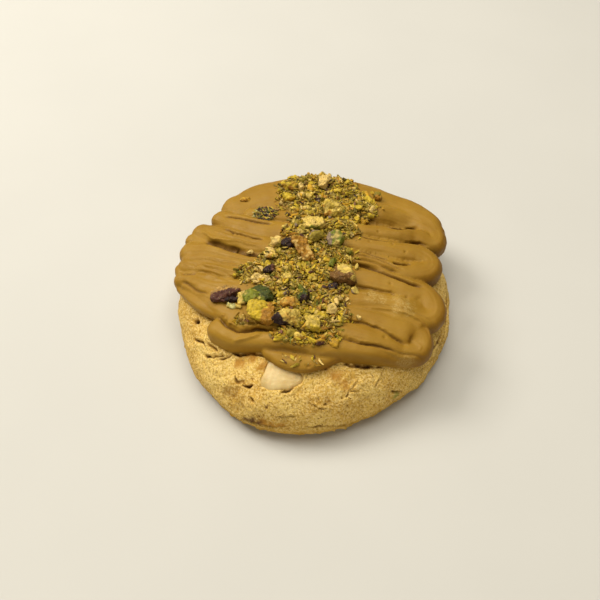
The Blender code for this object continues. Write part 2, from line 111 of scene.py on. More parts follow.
CRACK_WANDER = (2.6, 0.55)      # wavelength and amount
CRACKS = {                      # the line that each follows, its depth and its half width
    "left_upper": ([(-34.7, -24.8, 14.0), (-31.9, -27.4, 14.6), (-26.5, -27.8, 16.6)], 2.4, 0.48),
    "left_side": ([(-37.4, -19.6, 13.4), (-35.2, -21.8, 14.6), (-32.7, -24.2, 15.4)], 2.2, 0.45),
    "left_shoulder": ([(-38.4, -13.0, 15.2), (-35.4, -16.0, 16.4)], 2.4, 0.55),
    "left_flake": ([(-33.5, -22.0, 16.0), (-29.6, -25.6, 16.6), (-27.6, -28.6, 16.0)], 1.6, 0.42),
    "left_branch": ([(-31.0, -29.0, 15.0), (-27.6, -28.6, 16.0), (-24.6, -27.6, 17.0)], 1.8, 0.42),
    "left_nick": ([(-23.5, -33.9, 15.8), (-22.6, -35.7, 15.3), (-20.4, -36.4, 15.4)], 2.0, 0.40),
    "middle_nick": ([(-21.0, -36.7, 15.3), (-19.2, -38.0, 15.2), (-17.8, -37.2, 15.9)], 2.0, 0.40),
    "middle_slit": ([(-18.6, -40.4, 13.8), (-17.4, -42.0, 12.6)], 1.8, 0.40),
    "below_lump": ([(-10.4, -40.6, 16.0), (-7.2, -39.9, 16.9), (-3.4, -37.6, 17.0)], 2.2, 0.42),
    "right_slant": ([(8.4, -42.2, 13.8), (10.7, -39.2, 14.9), (14.1, -34.7, 16.6)], 0.9, 0.26),
    "right_nick": ([(10.4, -39.4, 14.8), (13.2, -39.0, 14.4)], 1.2, 0.28),
    "right_fine": ([(16.8, -38.6, 13.4), (19.4, -35.4, 14.8), (20.6, -32.6, 15.8)], 1.0, 0.24),
    "middle_fine": ([(-3.0, -41.8, 14.6), (2.2, -43.4, 12.6), (6.6, -42.6, 12.8)], 0.8, 0.22),
    "low_fine": ([(-12.6, -44.2, 11.0), (-9.4, -45.0, 10.4), (-5.0, -44.6, 11.6)], 0.8, 0.22),
    "right_flake": ([(22.8, -36.7, 11.2), (25.2, -36.1, 8.8), (27.9, -34.7, 8.1)], 1.8, 0.45),
    "foot_left": ([(-23.8, -41.2, 3.4), (-19.2, -44.4, 6.0), (-15.0, -45.4, 6.1),
                   (-7.8, -46.3, 6.7)], 1.6, 0.40),
    "foot_right": ([(-7.8, -46.3, 6.4), (-3.0, -46.3, 7.2), (4.1, -45.6, 6.6), (10.3, -44.2, 4.6),
                    (16.5, -41.6, 4.4), (23.0, -39.0, 4.8), (29.0, -34.8, 5.2)], 1.9, 0.44),
    "right_edge": ([(44.7, 0.5, 12.0), (44.5, -5.1, 11.2), (43.5, -10.6, 10.5),
                    (42.3, -15.7, 9.9), (39.6, -20.5, 9.4)], 2.2, 0.60),
    "right_side": ([(41.8, -12.0, 13.0), (40.2, -18.0, 12.0), (37.0, -23.5, 11.4)], 1.6, 0.50),
    "under_left_loop": ([(-25.0, -27.0, 17.4), (-22.0, -28.2, 17.9), (-17.0, -28.6, 18.3),
                         (-13.6, -29.6, 18.4)], 1.7, 0.55),
    "under_near_pass": ([(6.0, -32.0, 18.2), (13.0, -32.0, 17.8), (21.0, -32.0, 17.0)], 1.4, 0.60),
}
CRACK_STEP = 0.6
CRACK_ENDS = 0.35               # share of its depth and width that a crack keeps at its ends
CRACK_MEAN = 0.75               # its depth comes and goes round this share
CRACK_NOISE = [(2.2, 0.5)]
CRACK_LIP = 0.30                # how far the crust curls up beside a crack
LIP_PLACE = 2.2                 # middle of that lip, in half widths of the crack
LIP_SPAN = 0.9
LIP_LEVEL = -0.1                # what a crack cuts deeper than this has no lip
# Baked-in spots: place and radius, by colour
STAINS = {
    "caramel": [
        (-21.8, -30.6, 17.2, 2.4), (-18.5, -29.1, 18.1, 2.8), (-15.2, -32.4, 17.9, 2.2),
        (3.4, -32.5, 18.7, 2.0), (6.3, -35.4, 17.7, 2.4), (9.3, -37.8, 16.1, 1.8),
        (-14.6, -45.0, 7.2, 1.9), (-12.5, -45.6, 7.6, 1.7), (-10.0, -45.9, 7.7, 1.4),
    ],
    "nut_skin": [
        (-19.9, -43.7, 6.6, 1.3), (-17.9, -44.4, 7.2, 1.7), (-16.1, -44.8, 7.0, 1.4),
        (37.6, -22.2, 12.2, 0.9), (39.6, -19.8, 11.5, 0.7),
    ],
    "nut_green": [(25.0, -36.6, 7.9, 1.6)],
}
STAIN_NOISE = [(1.6, 0.45), (0.6, 0.25)]
STAIN_EDGE = (0.2, 1.15)        # shares of the radius between which a spot fades out
STAIN_STRENGTH = 0.85

# ---- Cream: half height of a piped pass, and how far its middle rides above the dough
CREAM_HALF_HEIGHT = 4.0
CREAM_LIFT = 1.1
CREAM_EDGE_LEVEL = 16.0
CREAM_VOXEL = 0.36
PATH_STEP = 0.8
LEVEL_WINDOW = 8.0              # a pass follows the dough's height averaged over this length
PASS_SIDES = 40
END_ANGLES = [math.radians(angle) for angle in (84.0, 68.0, 52.0, 36.0, 18.0)]
PASS_SQUARENESS = 0.74          # below 1 the section of a pass is flatter on top than an ellipse
THIN_PASS_HEIGHT = 0.25         # share of the height that the thinnest pass keeps
FULL_WIDTH = 3.6                # passes at least this half width have the full height
CREAM_PASSES = {                # points of each centre line with the half width there
    "far_lobe": [
        (-25.2, 32.8, 7.0), (-17.5, 34.8, 9.8), (-6.0, 34.6, 12.0), (5.0, 34.4, 12.0),
        (16.0, 33.8, 10.8), (25.0, 32.0, 9.6), (33.0, 29.0, 8.4), (39.2, 24.6, 6.6),
        (41.2, 21.4, 5.2),
    ],
    "far_flank": [(-21.0, 27.0, 3.0), (-14.0, 24.6, 3.2), (-6.0, 23.8, 3.2), (2.0, 24.0, 2.8)],
    "first_turn": [
        (10.0, 26.2, 5.0), (20.0, 26.8, 5.2), (29.0, 26.6, 5.2), (36.0, 24.4, 4.9),
        (41.0, 20.8, 4.8), (40.6, 16.6, 4.9), (34.0, 16.8, 4.6), (26.0, 17.4, 4.8),
        (15.0, 17.8, 4.2), (3.0, 17.0, 4.6), (-9.0, 16.8, 4.6), (-18.0, 18.6, 4.7),
        (-26.0, 22.8, 4.7), (-31.2, 26.8, 4.0),
    ],
    "second_turn": [
        (-37.6, 21.0, 4.0), (-32.0, 17.8, 4.9), (-25.5, 13.8, 5.2), (-18.0, 10.7, 4.7),
        (-8.0, 10.0, 4.2), (4.0, 11.4, 4.1), (13.0, 11.8, 4.1), (21.0, 10.2, 4.5),
        (28.0, 8.8, 5.0), (34.0, 8.4, 4.9), (37.8, 5.6, 4.8), (36.4, 1.8, 4.6),
        (31.0, 0.4, 4.6), (25.0, 2.0, 4.4), (17.0, 4.4, 4.1), (7.0, 5.8, 4.0),
        (-4.0, 4.8, 3.9), (-15.0, 3.6, 3.8), (-25.0, 5.6, 3.7), (-32.0, 9.0, 4.2),
        (-40.6, 12.4, 4.3),
    ],
    "thin_pass": [(-41.0, 18.0, 2.6), (-33.6, 14.2, 2.4), (-26.0, 9.6, 2.2), (-19.0, 6.8, 2.0)],
    "third_turn": [
        (-41.4, 5.6, 3.6), (-34.0, 3.4, 3.7), (-27.0, 0.0, 4.3), (-17.0, -1.6, 4.6),
        (-7.0, -1.4, 4.9), (4.0, -1.6, 5.4), (14.0, -3.0, 5.4), (22.0, -4.8, 5.2),
        (29.0, -6.6, 5.2), (34.4, -9.4, 6.2), (34.6, -14.6, 6.2), (28.0, -13.6, 4.9),
        (20.0, -12.4, 4.4), (10.0, -11.4, 4.7), (-2.0, -9.8, 4.7), (-14.0, -7.8, 4.6),
        (-24.0, -6.8, 4.6), (-32.0, -4.8, 4.2), (-38.5, -0.8, 3.8), (-42.4, 0.8, 3.0),
    ],
    "left_sheet": [(-40.4, 9.0, 3.4), (-33.0, 6.2, 3.8), (-25.0, 2.8, 4.2), (-17.0, 1.0, 3.8)],
    "left_sheet_low": [(-39.8, -1.8, 2.9), (-33.6, -6.4, 3.8), (-26.0, -10.8, 4.6)],
    "knob": [(-43.0, 5.2, 2.6), (-42.2, 3.0, 2.8)],
    "fourth_turn": [
        (-35.0, -7.4, 2.6), (-29.4, -12.2, 3.8), (-21.0, -17.0, 6.4),
        (-11.0, -17.0, 6.4), (-1.0, -16.0, 5.0), (8.0, -16.6, 4.0), (16.0, -18.2, 4.3),
        (24.0, -20.8, 5.3), (30.6, -22.6, 5.6), (31.0, -26.4, 4.5), (26.6, -27.6, 3.5),
        (18.4, -25.6, 3.8), (10.0, -23.1, 4.2), (2.0, -20.8, 4.4), (-6.0, -20.8, 4.2),
    ],
    "right_sheet": [(12.0, -15.0, 3.0), (20.0, -16.0, 3.0), (27.0, -17.2, 3.2), (31.6, -19.4, 3.0)],
    "near_pass": [
        (-28.4, -20.8, 3.9), (-24.0, -24.0, 3.4), (-16.0, -25.2, 3.0), (-8.0, -25.9, 3.5),
        (0.0, -27.0, 4.2), (7.5, -27.6, 4.0), (13.5, -28.2, 3.5), (20.0, -29.1, 2.7),
        (25.0, -30.1, 1.6), (29.0, -30.9, 0.6),
    ],
}
SHEET_HALF_HEIGHT = 2.2
CREAM_SHEETS = {                # lower, flatter spreads, each with its lift above the dough
    "drip": (0.6, [(-11.8, -27.4, 4.0), (-7.8, -29.0, 5.2), (-3.2, -29.4, 6.1), (1.4, -28.8, 5.4),
                   (5.6, -28.0, 4.4)]),
    "left_apron": (2.2, [(-42.2, -1.6, 2.2), (-38.6, -5.6, 2.8), (-35.6, -9.2, 3.2),
                         (-31.2, -12.6, 3.4), (-26.0, -15.4, 3.4), (-21.5, -17.0, 3.0)]),
}

# Broad slopes of the passes, in the same terms as the marks below
CREAM_SLOPES = {
    "flank_a": ([(14.0, 23.4), (24.0, 22.4), (31.0, 22.8), (38.0, 24.4)], -1.5, 3.4),
    "flank_b": ([(16.0, 13.8), (24.0, 13.2), (32.0, 13.4), (38.0, 14.4)], -0.5, 2.4),
    "flank_c": ([(16.0, 6.8), (22.0, 5.6), (28.0, 3.6), (33.0, 3.6)], -0.6, 2.4),
    "dimple_f": ([(33.0, -12.8), (35.0, -14.0)], -0.55, 2.2),
    "crest_f": ([(26.0, -12.4), (28.4, -15.0)], 0.7, 1.9),
}
# Marks of the nozzle and of the torn cream: line, height (grooves are negative), half width
CREAM_MARKS = {
    "slot_ab": ([(22.0, 20.9), (27.0, 19.2), (30.5, 19.2), (33.3, 21.6), (36.7, 22.4)], -1.6, 0.8),
    "valley_ab_right": ([(13.1, 21.6), (16.9, 19.9), (24.1, 20.5)], -0.9, 0.5),
    "valley_ab_left": ([(-31.0, 26.9), (-26.1, 24.1), (-19.1, 20.6), (-12.3, 18.7)], -1.2, 0.5),
    "valley_bc_left": ([(-30.3, 19.3), (-25.6, 16.0), (-18.7, 13.0), (-15.4, 11.3)], -1.3, 0.5),
    "valley_bc_right": ([(13.3, 14.5), (19.1, 12.6), (29.2, 12.5), (36.3, 14.0), (40.0, 12.8)],
                        -1.3, 0.5),
    "valley_cd_left": ([(-36.6, 14.9), (-33.1, 12.6), (-28.4, 9.6), (-20.0, 5.9), (-15.1, 4.9)],
                       -2.6, 0.9),
    "valley_cd_right": ([(13.0, 7.9), (19.4, 6.3), (25.0, 4.0)], -0.8, 0.5),
    "slot_cd": ([(25.5, 3.0), (29.0, 2.4), (32.0, 3.2)], -1.6, 0.55),
    "ledge_d_upper": ([(12.2, 4.9), (17.0, 4.8), (20.8, 3.6), (24.5, 2.2), (26.9, 0.3), (29.6, -0.6)],
                      -0.65, 0.32),
    "ledge_d_lower": ([(12.4, 3.8), (16.9, 2.9), (20.6, 1.7), (24.3, -0.4), (28.1, -1.9)],
                      -0.6, 0.32),
    "rib_d": ([(13.0, 4.3), (17.0, 3.9), (20.7, 2.7), (24.4, 1.0), (27.4, -0.7)], 0.35, 0.35),
    "valley_de_right": ([(10.4, 1.7), (15.2, 1.0), (20.2, -0.7), (24.5, -2.9), (28.7, -4.6),
                         (31.2, -5.8), (36.0, -6.3)], -1.7, 0.60),
    "valley_ef_right": ([(11.7, -6.7), (15.4, -7.5), (20.9, -8.9), (24.0, -9.2), (27.0, -11.8)],
                        -0.5, 0.45),
    "valley_de_left": ([(-34.9, 6.2), (-30.4, 3.8), (-23.1, 1.7)], -0.3, 0.5),
    "valley_fg_left": ([(-43.5, -1.0), (-40.4, -3.1), (-35.3, -7.9), (-31.5, -9.8)], -0.7, 0.45),
    "valley_gh_right": ([(6.6, -19.6), (14.6, -20.9), (20.5, -23.4), (25.2, -25.8), (28.8, -28.0)],
                        -0.7, 0.38),
    "valley_hi": ([(0.5, -24.0), (6.4, -25.8), (13.1, -27.7), (20.2, -28.8), (26.0, -30.0)],
                  -0.9, 0.36),
    "valley_gh_left": ([(-29.6, -17.4), (-26.0, -21.4), (-22.3, -23.7), (-17.3, -23.2),
                        (-10.0, -23.2)], -1.4, 0.40),
    "tail_upper": ([(24.0, -29.6), (29.0, -30.0), (34.0, -30.4)], -0.4, 0.35),
    "ridge_c_left": ([(-38.8, 20.6), (-32.3, 14.2), (-25.3, 11.7), (-16.3, 8.8)], 0.6, 0.45),
    "streak_c_left": ([(-36.0, 20.4), (-29.0, 15.2), (-22.0, 12.4), (-15.0, 10.6)], 0.35, 0.4),
    "streak_e_upper": ([(-41.7, 6.0), (-32.7, 0.9), (-27.7, -1.8), (-23.3, -4.9)], -0.28, 0.35),
    "streak_e_middle": ([(-36.3, 3.8), (-31.1, 1.3), (-22.8, -2.3)], 0.35, 0.4),
    "streak_e_lower": ([(-37.9, 1.6), (-32.7, -0.4), (-23.8, -6.7)], -0.22, 0.35),
    "under_knob": ([(-43.0, 1.9), (-40.2, 1.2), (-37.0, 0.6)], -0.7, 0.45),
    "ridge_e": ([(-34.6, -1.0), (-32.6, -1.8), (-29.8, -3.9)], 0.5, 0.5),
    "ridge_fg": ([(10.0, -14.9), (14.9, -15.4), (19.8, -15.5), (23.4, -16.0), (28.0, -16.6),
                  (32.2, -18.4), (34.8, -21.0), (35.3, -25.4)], 0.5, 0.35),
    "groove_fg": ([(12.0, -16.4), (19.8, -16.7), (26.0, -17.4), (31.4, -19.4), (33.9, -22.0)],
                  -0.12, 0.5),
    "ring_gh": ([(28.0, -25.2), (30.4, -25.6), (31.8, -27.2), (31.0, -28.8)], 0.22, 0.25),
    "crease_left_loop": ([(-24.0, -26.8), (-20.1, -25.8), (-15.1, -24.9)], 0.6, 0.5),
    "crease_drip": ([(-15.0, -28.7), (-9.8, -29.3), (-0.4, -30.9)], -0.4, 0.6),
}
TORN_LIPS = {                   # the same, for edges that are torn along their length
    "gh_left": ([(-29.0, -16.2), (-25.0, -20.4), (-21.9, -22.4), (-16.8, -22.0),
                 (-11.0, -22.0)], 0.7, 0.40),
    "hi": ([(1.0, -23.3), (6.4, -25.0), (13.0, -26.9), (20.0, -28.0)], 0.5, 0.30),
    "gh_right": ([(10.0, -19.4), (18.0, -21.8), (25.0, -24.9)], 0.35, 0.28),
    "bc_left": ([(-30.3, 18.4), (-25.6, 15.2), (-18.7, 12.2)], 0.4, 0.32),
}
MARK_FADE = 0.18                # share of a mark's length over which each end fades out
MARK_WANDER = [(5.0, 0.40), (1.6, 0.14)]
TEAR_MEAN = 0.6                 # the torn lips come and go
TEAR_NOISE = [(1.3, 1.6)]
TEAR_LIMIT = 1.8
STREAK_WIDTH = 0.9              # of the drag marks along each pass
STREAK_LENGTH = 15.0
STREAK_SHIFT = 7.3              # sets each pass's drag marks apart from the next one's
STROKE_SHIFT = 3.0              # and the finer ones in the material
STREAK_HEIGHT = 0.07
STREAK_EDGE = (0.5, 1.1)        # shares of the radius between which a rough patch fades out
STREAK_PATCHES = [              # where the cream is dragged rougher: x, y, radius, height
    (-31.0, -0.5, 10.0, 0.22), (-29.0, 13.0, 9.0, 0.24), (22.0, 4.5, 9.0, 0.18),
    (18.0, -9.5, 9.0, 0.14), (-34.0, 24.0, 6.0, 0.16), (14.0, -24.0, 9.0, 0.16),
]
CREAM_SOFTEN = 3                # rounds of smoothing that melt the passes together
VALLEY_REACH = 26               # rounds of smoothing that find the valleys
VALLEY_LIMIT = 1.2
VALLEY_SHARPEN = 0.7            # how much deeper each valley is cut
VALLEY_SHADE = 1.5              # and how much painted shade it adds to the cream's colour
CREAM_NOISE = [(9.0, 0.30), (3.6, 0.12)]
RELIEF_SLOPE = (-0.2, 0.3)      # upward shares of the normal where the relief starts and is full
MARK_SLOPE = (0.0, 0.5)
DUST_GRAIN = 1.1                # fine nut grit bedded in the cream under the heap
DUST_LEVEL = 0.55
DUST_HEIGHT = 0.75
CREAM_PITS = [
    (30.3, 7.6), (24.1, -6.3), (28.9, -10.7), (18.7, 10.9), (26.6, 10.6), (17.3, -11.2),
    (20.9, -25.5), (-23.9, 15.4), (-26.2, 15.5), (-1.9, -34.3), (22.1, 16.1), (-38.0, 3.2),
]
CREAM_PIT_RADIUS = 0.45
CREAM_PIT_DEPTH = 0.45
CREAM_SCUFFS_AND_HIGHLIGHTS = [                # paler places, partly scuffed cream and partly a painted highlight: x, y, z, radius
    (18.2, -11.1, 24.6, 3.2), (20.8, -12.4, 24.6, 2.4), (26.7, -12.6, 24.0, 3.0),
    (28.6, -14.8, 23.4, 3.2), (25.4, -15.6, 23.8, 2.6), (27.2, -31.0, 18.2, 3.4),
]
SCUFF_AND_HIGHLIGHT_GRAIN = 0.5               # size of the grains that the pale patches, partly scuffs and partly a painted highlight, are broken into
PAINTED_SHADE_SIDE = (0.95, -0.31, 0.0)  # painted shade: the cream's sides turned this way, away from the window, are painted darker
PAINTED_SHADE_RANGE = (0.12, 0.62)       # share of the normal that way where the painted shade starts and is full
# strongest share of that painted shade
PAINTED_SHADE_SHARE = 0.55

# ---- White chocolate: outline of the lump in the near shoulder, seen from above
LUMP_OUTLINE = [
    (-13.4, -30.6), (-11.8, -29.2), (-8.0, -30.0), (-4.4, -33.6), (-3.2, -37.2), (-7.2, -39.2),
    (-11.0, -39.6), (-14.0, -39.2), (-15.9, -37.4), (-14.8, -34.2),
]
LUMP_MIDDLE = np.mean(LUMP_OUTLINE, axis=0)
LUMP_PROUD = 0.35               # how far it stands out of the dough
LUMP_SIDE = [                   # share of the outline and depth under the top, down its side
    (0.0, 0.0), (0.45, 0.0), (0.72, 0.06), (0.86, 0.22), (0.94, 0.48), (0.985, 0.9),
    (1.0, 1.6), (1.0, 2.8), (0.96, 3.9), (0.8, 4.7), (0.4, 5.0), (0.02, 5.0),
]
LUMP_SPOKES = 150
LUMP_RINGS = 60
LUMP_STEP = 0.4
LUMP_NOISE = [(4.0, 0.34), (1.3, 0.12)]
LUMP_EDGE = (0.86, 1.0)         # shares of the outline between which it browns
LUMP_EDGE_NOISE = [(1.5, 0.06)]

# ---- Linear colours of the dough and its spots, the cream and the white chocolate
DOUGH_COLOURS = {
    "shade": (0.51, 0.302, 0.056),
    "light": (0.63, 0.425, 0.108),
    "pale_grain": (0.80, 0.60, 0.25),
    "dark_grain": (0.25, 0.118, 0.014),
    "fleck": (0.22, 0.105, 0.012),
    "pinprick": (0.15, 0.065, 0.008),
    "toast": (0.37, 0.19, 0.025),
    # painted shade in the crust's pits and hollows
    "painted_hollow_shade": (0.20, 0.09, 0.012),
    "crack": (0.05, 0.018, 0.003),
    # painted shadow in the cracks
    "foot": (0.44, 0.235, 0.028),
}
STAIN_COLOURS = {
    "caramel": (0.37, 0.17, 0.024),
    "nut_green": (0.26, 0.24, 0.05),
    "nut_skin": (0.060, 0.018, 0.012),
}
CREAM_COLOURS = {
    "shade": (0.250, 0.127, 0.008),
    "light": (0.285, 0.150, 0.011),
    # pale patches, partly scuffed cream and partly a painted highlight
    "scuff_and_highlight": (0.42, 0.280, 0.080),
    # painted shade on the cream's sides turned away from the window
    "deep": (0.155, 0.060, 0.0012),
    # painted shade in the cream's valleys, grooves and pits
    "painted_hollow_shade": (0.10, 0.038, 0.002),
    # dark grains of nut dust, partly painted shade in the gaps between the nut pieces
    "dark_dust_and_gap_shade": (0.15, 0.078, 0.004),
    "pale_dust": (0.37, 0.235, 0.020),
}
CHOCOLATE_COLOURS = {
    "shade": (0.51, 0.350, 0.118),
    "light": (0.59, 0.430, 0.172),
    "browned": (0.55, 0.36, 0.10),
}
FRECKLE_COLOUR = (0.20, 0.10, 0.012)
GRIT_COLOUR = (0.60, 0.46, 0.15)
FLOOR_COLOUR = (0.50, 0.48, 0.42)

# ---- Pistachios.  Linear colours of the flesh and of the papery skin
NUT_COLOURS = {
    "pale": (0.52, 0.36, 0.065),
    "cream": (0.60, 0.41, 0.115),
    "yellow": (0.46, 0.31, 0.016),
    "gold": (0.44, 0.24, 0.012),
    "olive": (0.24, 0.170, 0.013),
    "green": (0.15, 0.155, 0.008),
    "deep_green": (0.048, 0.058, 0.006),
    "mint": (0.42, 0.37, 0.130),
    "toasted": (0.36, 0.170, 0.014),
    "tan": (0.34, 0.190, 0.040),
    "plum": (0.14, 0.055, 0.025),
    "roasted": (0.31, 0.140, 0.009),
    "brown": (0.15, 0.068, 0.012),
    "skin": (0.075, 0.024, 0.012),
    "dark_skin": (0.025, 0.010, 0.007),
    "grey_skin": (0.22, 0.15, 0.09),
}
SECOND_COLOURS = ("yellow", "pale", "olive", "toasted", "cream")
SECOND_SHARE = 0.6
SECOND_EDGE = (0.10, 0.30)
SECOND_NOISE = [(1.7, 1.0)]
MOTTLE_NOISE = [(2.2, 0.22)]
SKINS = ("skin", "dark_skin", "plum", "grey_skin")
SKIN_ROUGHNESS = 1.3            # how much more ragged a piece is that is all skin
SKIN_NOISE = [(2.0, 0.5), (0.8, 0.3)]
SKIN_EDGE = 0.08
SKIN_DROOP = -0.35              # the skin reaches further down a piece than up it
SMALL_SKINS = ("skin", "green", "olive", "toasted", "grey_skin")
SMALL_SKIN_SHARES = (0, 0, 0.15, 0.35)
# Larger pieces: x, y, length, width, height, roundness, flesh, and where they have a skin its
# colour, azimuth and share
LARGE_NUTS = [
    (-7.4, 38.0, 5.2, 3.8, 3.4, 0.80, "yellow", "toasted", -90, 0.25),
    (-8.0, 32.8, 5.4, 3.6, 3.0, 0.70, "yellow", "gold", -60, 0.30),
    (-3.7, 37.4, 2.6, 3.7, 3.3, 0.80, "cream"),
    (-0.7, 43.6, 2.9, 2.4, 1.9, 0.70, "pale"),
    (4.6, 38.9, 4.5, 5.4, 5.0, 0.60, "cream", "skin", -10, 0.30),
    (7.8, 24.4, 8.0, 6.8, 6.0, 0.25, "pale", "toasted", -150, 0.08),
    (0.5, 17.4, 7.4, 4.8, 4.0, 0.50, "pale", "green", -100, 0.15),
    (4.1, 24.9, 1.6, 1.7, 1.5, 0.60, "grey_skin", "skin", 0, 0.20),
    (5.8, 20.9, 1.6, 2.0, 1.8, 0.60, "grey_skin", "skin", 0, 0.20),
    (1.4, 11.6, 5.6, 4.7, 4.0, 1.00, "olive", "grey_skin", 100, 0.40),
    (7.3, 10.6, 5.8, 6.1, 5.0, 0.95, "green", "grey_skin", 170, 0.35),
    (-3.2, 6.8, 6.4, 11.6, 5.2, 0.60, "roasted", "toasted", 100, 0.30),
    (-11.6, 9.4, 4.2, 4.2, 4.0, 0.80, "cream", "olive", -30, 0.20),
    (-8.2, 9.2, 4.8, 4.4, 3.8, 0.70, "dark_skin", "tan", 60, 0.16),
    (-13.5, 4.4, 4.2, 3.1, 2.5, 0.50, "cream", "toasted", -90, 0.25),
    (-23.4, 34.7, 3.6, 1.9, 1.0, 0.60, "gold", "toasted", -90, 0.30),
    (15.4, 26.9, 4.2, 3.1, 2.5, 0.60, "yellow", "olive", -90, 0.20),
    (23.3, 34.9, 2.9, 3.4, 2.7, 0.70, "olive", "toasted", -90, 0.40),
    (22.2, 37.2, 1.9, 1.7, 1.4, 0.65, "yellow"),
    (9.6, 35.7, 3.8, 3.1, 2.5, 0.65, "yellow", "olive", 0, 0.15),
    (12.2, 40.9, 3.5, 2.7, 2.2, 0.65, "yellow"),
    (14.6, 37.6, 2.9, 2.4, 1.9, 0.65, "pale", "olive", 0, 0.20),
    (2.5, 31.0, 2.2, 2.0, 1.8, 0.65, "grey_skin", "skin", 0, 0.20),
    (-0.8, 33.0, 3.2, 2.7, 2.2, 0.65, "pale", "yellow", 0, 0.30),
    (-1.7, 26.2, 3.5, 2.8, 2.0, 0.65, "pale", "olive", 0, 0.20),
    (13.4, 17.2, 3.2, 2.2, 1.3, 0.65, "yellow", "olive", 0, 0.30),
    (-5.9, 15.5, 2.6, 1.5, 0.9, 0.65, "cream", "toasted", 0, 0.10),
    (9.2, -3.7, 8.6, 7.4, 5.0, 0.55, "pale", "brown", -125, 0.50),
    (10.9, 2.9, 1.9, 2.0, 1.8, 0.65, "pale"),
    (4.7, 2.5, 2.9, 2.4, 1.9, 0.65, "yellow", "olive", 0, 0.20),
    (-15.8, -5.8, 7.2, 3.3, 2.3, 0.50, "cream", "toasted", -90, 0.15),
    (-14.0, -2.0, 4.4, 3.0, 3.0, 0.70, "dark_skin", "plum", 20, 0.30),
    (-17.6, -1.5, 5.6, 2.2, 1.6, 0.60, "cream", "toasted", -90, 0.20),
    (-17.0, -12.0, 9.8, 7.2, 5.0, 0.70, "green", "deep_green", 40, 0.60),
    (-21.8, -12.2, 3.4, 4.8, 3.2, 0.65, "pale", "green", 0, 0.30),
    (-15.6, -18.6, 9.0, 7.4, 4.6, 0.55, "yellow", "roasted", -10, 0.42),
    (-8.5, -20.4, 9.6, 5.0, 4.5, 0.60, "pale", "dark_skin", -140, 0.42),
    (-7.1, -15.1, 5.8, 4.1, 3.4, 0.80, "toasted", "skin", 90, 0.25),
    (-2.9, -12.6, 3.8, 5.1, 5.0, 0.80, "deep_green", "dark_skin", -60, 0.45),
    (5.4, -17.4, 3.4, 4.1, 3.4, 0.95, "cream"),
    (2.1, -19.2, 4.8, 3.1, 2.5, 0.60, "yellow", "olive", -60, 0.20),
    (-0.1, -22.9, 4.8, 5.0, 4.5, 0.45, "pale", "yellow", -90, 0.20),
    (13.5, -19.5, 1.4, 1.5, 1.3, 0.65, "cream"),
    (-8.0, -4.4, 3.2, 3.1, 2.5, 0.65, "pale"),
    (-0.0, -4.9, 3.5, 2.7, 2.2, 0.65, "yellow", "olive", 0, 0.20),
    (10.3, -13.2, 1.6, 1.4, 1.1, 0.65, "cream"),
    (-20.3, 7.0, 2.6, 1.9, 1.5, 0.65, "cream"),
    (2.2, -2.8, 2.9, 2.1, 1.5, 0.65, "yellow", "pale", 0, 0.30),
    (-0.6, -17.9, 3.5, 2.7, 2.2, 0.65, "yellow", "olive", 0, 0.20),
    (-27.1, -10.6, 9.6, 5.0, 3.0, 0.50, "skin", "tan", 100, 0.44),
    (-25.4, -12.6, 5.4, 2.2, 2.2, 0.70, "dark_skin", "skin", 180, 0.25),
    (-24.2, -15.0, 4.8, 2.0, 1.5, 0.60, "mint", "pale", 0, 0.20),
]
NO_SKIN = ("skin", 0, 0.0)
NUT_SEED = 41
# Chopped blocks: points that their hull is made from, cuts of the knife and, but for the larger
# pieces, roundness
NUT_BLOCK = (90, 4)
MIDDLE_NUT_BLOCK = (40, 5, 0.55)
CRUMB_BLOCK = (10, 1, 0.8)
SHRED_BLOCK = (12, 1, 0.7)
NUT_RAISE = 0.28                # share of its height that a piece's middle lies above its ground
NUT_LEAN = 0.25
NUT_VOXEL = 0.26
NUT_RAGGED = (1.9, 0.9)         # raggedness of a boxy piece, and how much a round one lacks of it
CUT_REACH = (0.26, 0.42)        # how far from a piece's middle the knife passed, as a share
# Broken surface: size of the chips, bumps and grains, and the height of each
NUT_CHIPS = (1.5, 0.42)
NUT_BUMPS = (1.0, 0.22)
NUT_GRAINS = (0.7, 0.18)
MIDDLE_NUTS = 460
MIDDLE_NUT_SIZE = (1.3, 3.6)
MIDDLE_NUT_SKEW = 1.6           # above 1 there are more small pieces than large ones
MIDDLE_NUT_STRETCH = [(0.9, 1.4), (0.6, 1.0), (0.5, 0.9)]
MIDDLE_NUT_RAISE = 0.20
MIDDLE_NUT_TILT = 0.8
MIDDLE_NUT_TINT = (0.85, 1.15)
MIDDLE_NUT_TRIES = 12           # places tried for each piece
CROWDING = (0.36, 0.34, 0.30)   # shares of their sizes that larger, middle and new pieces keep free
MIDDLE_TEMPLATES = 16
TEMPLATE_SIZE = 2.4
TEMPLATE_VOXEL = 0.30
TEMPLATE_RAGGED = 0.9
THICK_PATCH = 0.55              # pieces of a few millimetres lie only in patches of this weight
CRUMBS = 13000
CRUMB_SIZE = (0.36, 1.60)
CRUMB_SKEW = 3.0
CRUMB_LENGTH = (1.0, 2.2)       # these three as shares of the crumb's size
CRUMB_WIDTH = (0.40, 0.80)
CRUMB_HEIGHT = (0.35, 0.80)
CRUMB_TILT = 0.9
CRUMB_TINT = (0.36, 1.20)
CRUMB_TEMPLATES = 16
PILE_LIMIT = 1.1                # crumbs seldom pile higher than this
PILE_REFUSAL = 0.9
NUT_TOP = 1.8                   # and hardly ever lie on top of the larger pieces
NUT_REFUSAL = 0.96
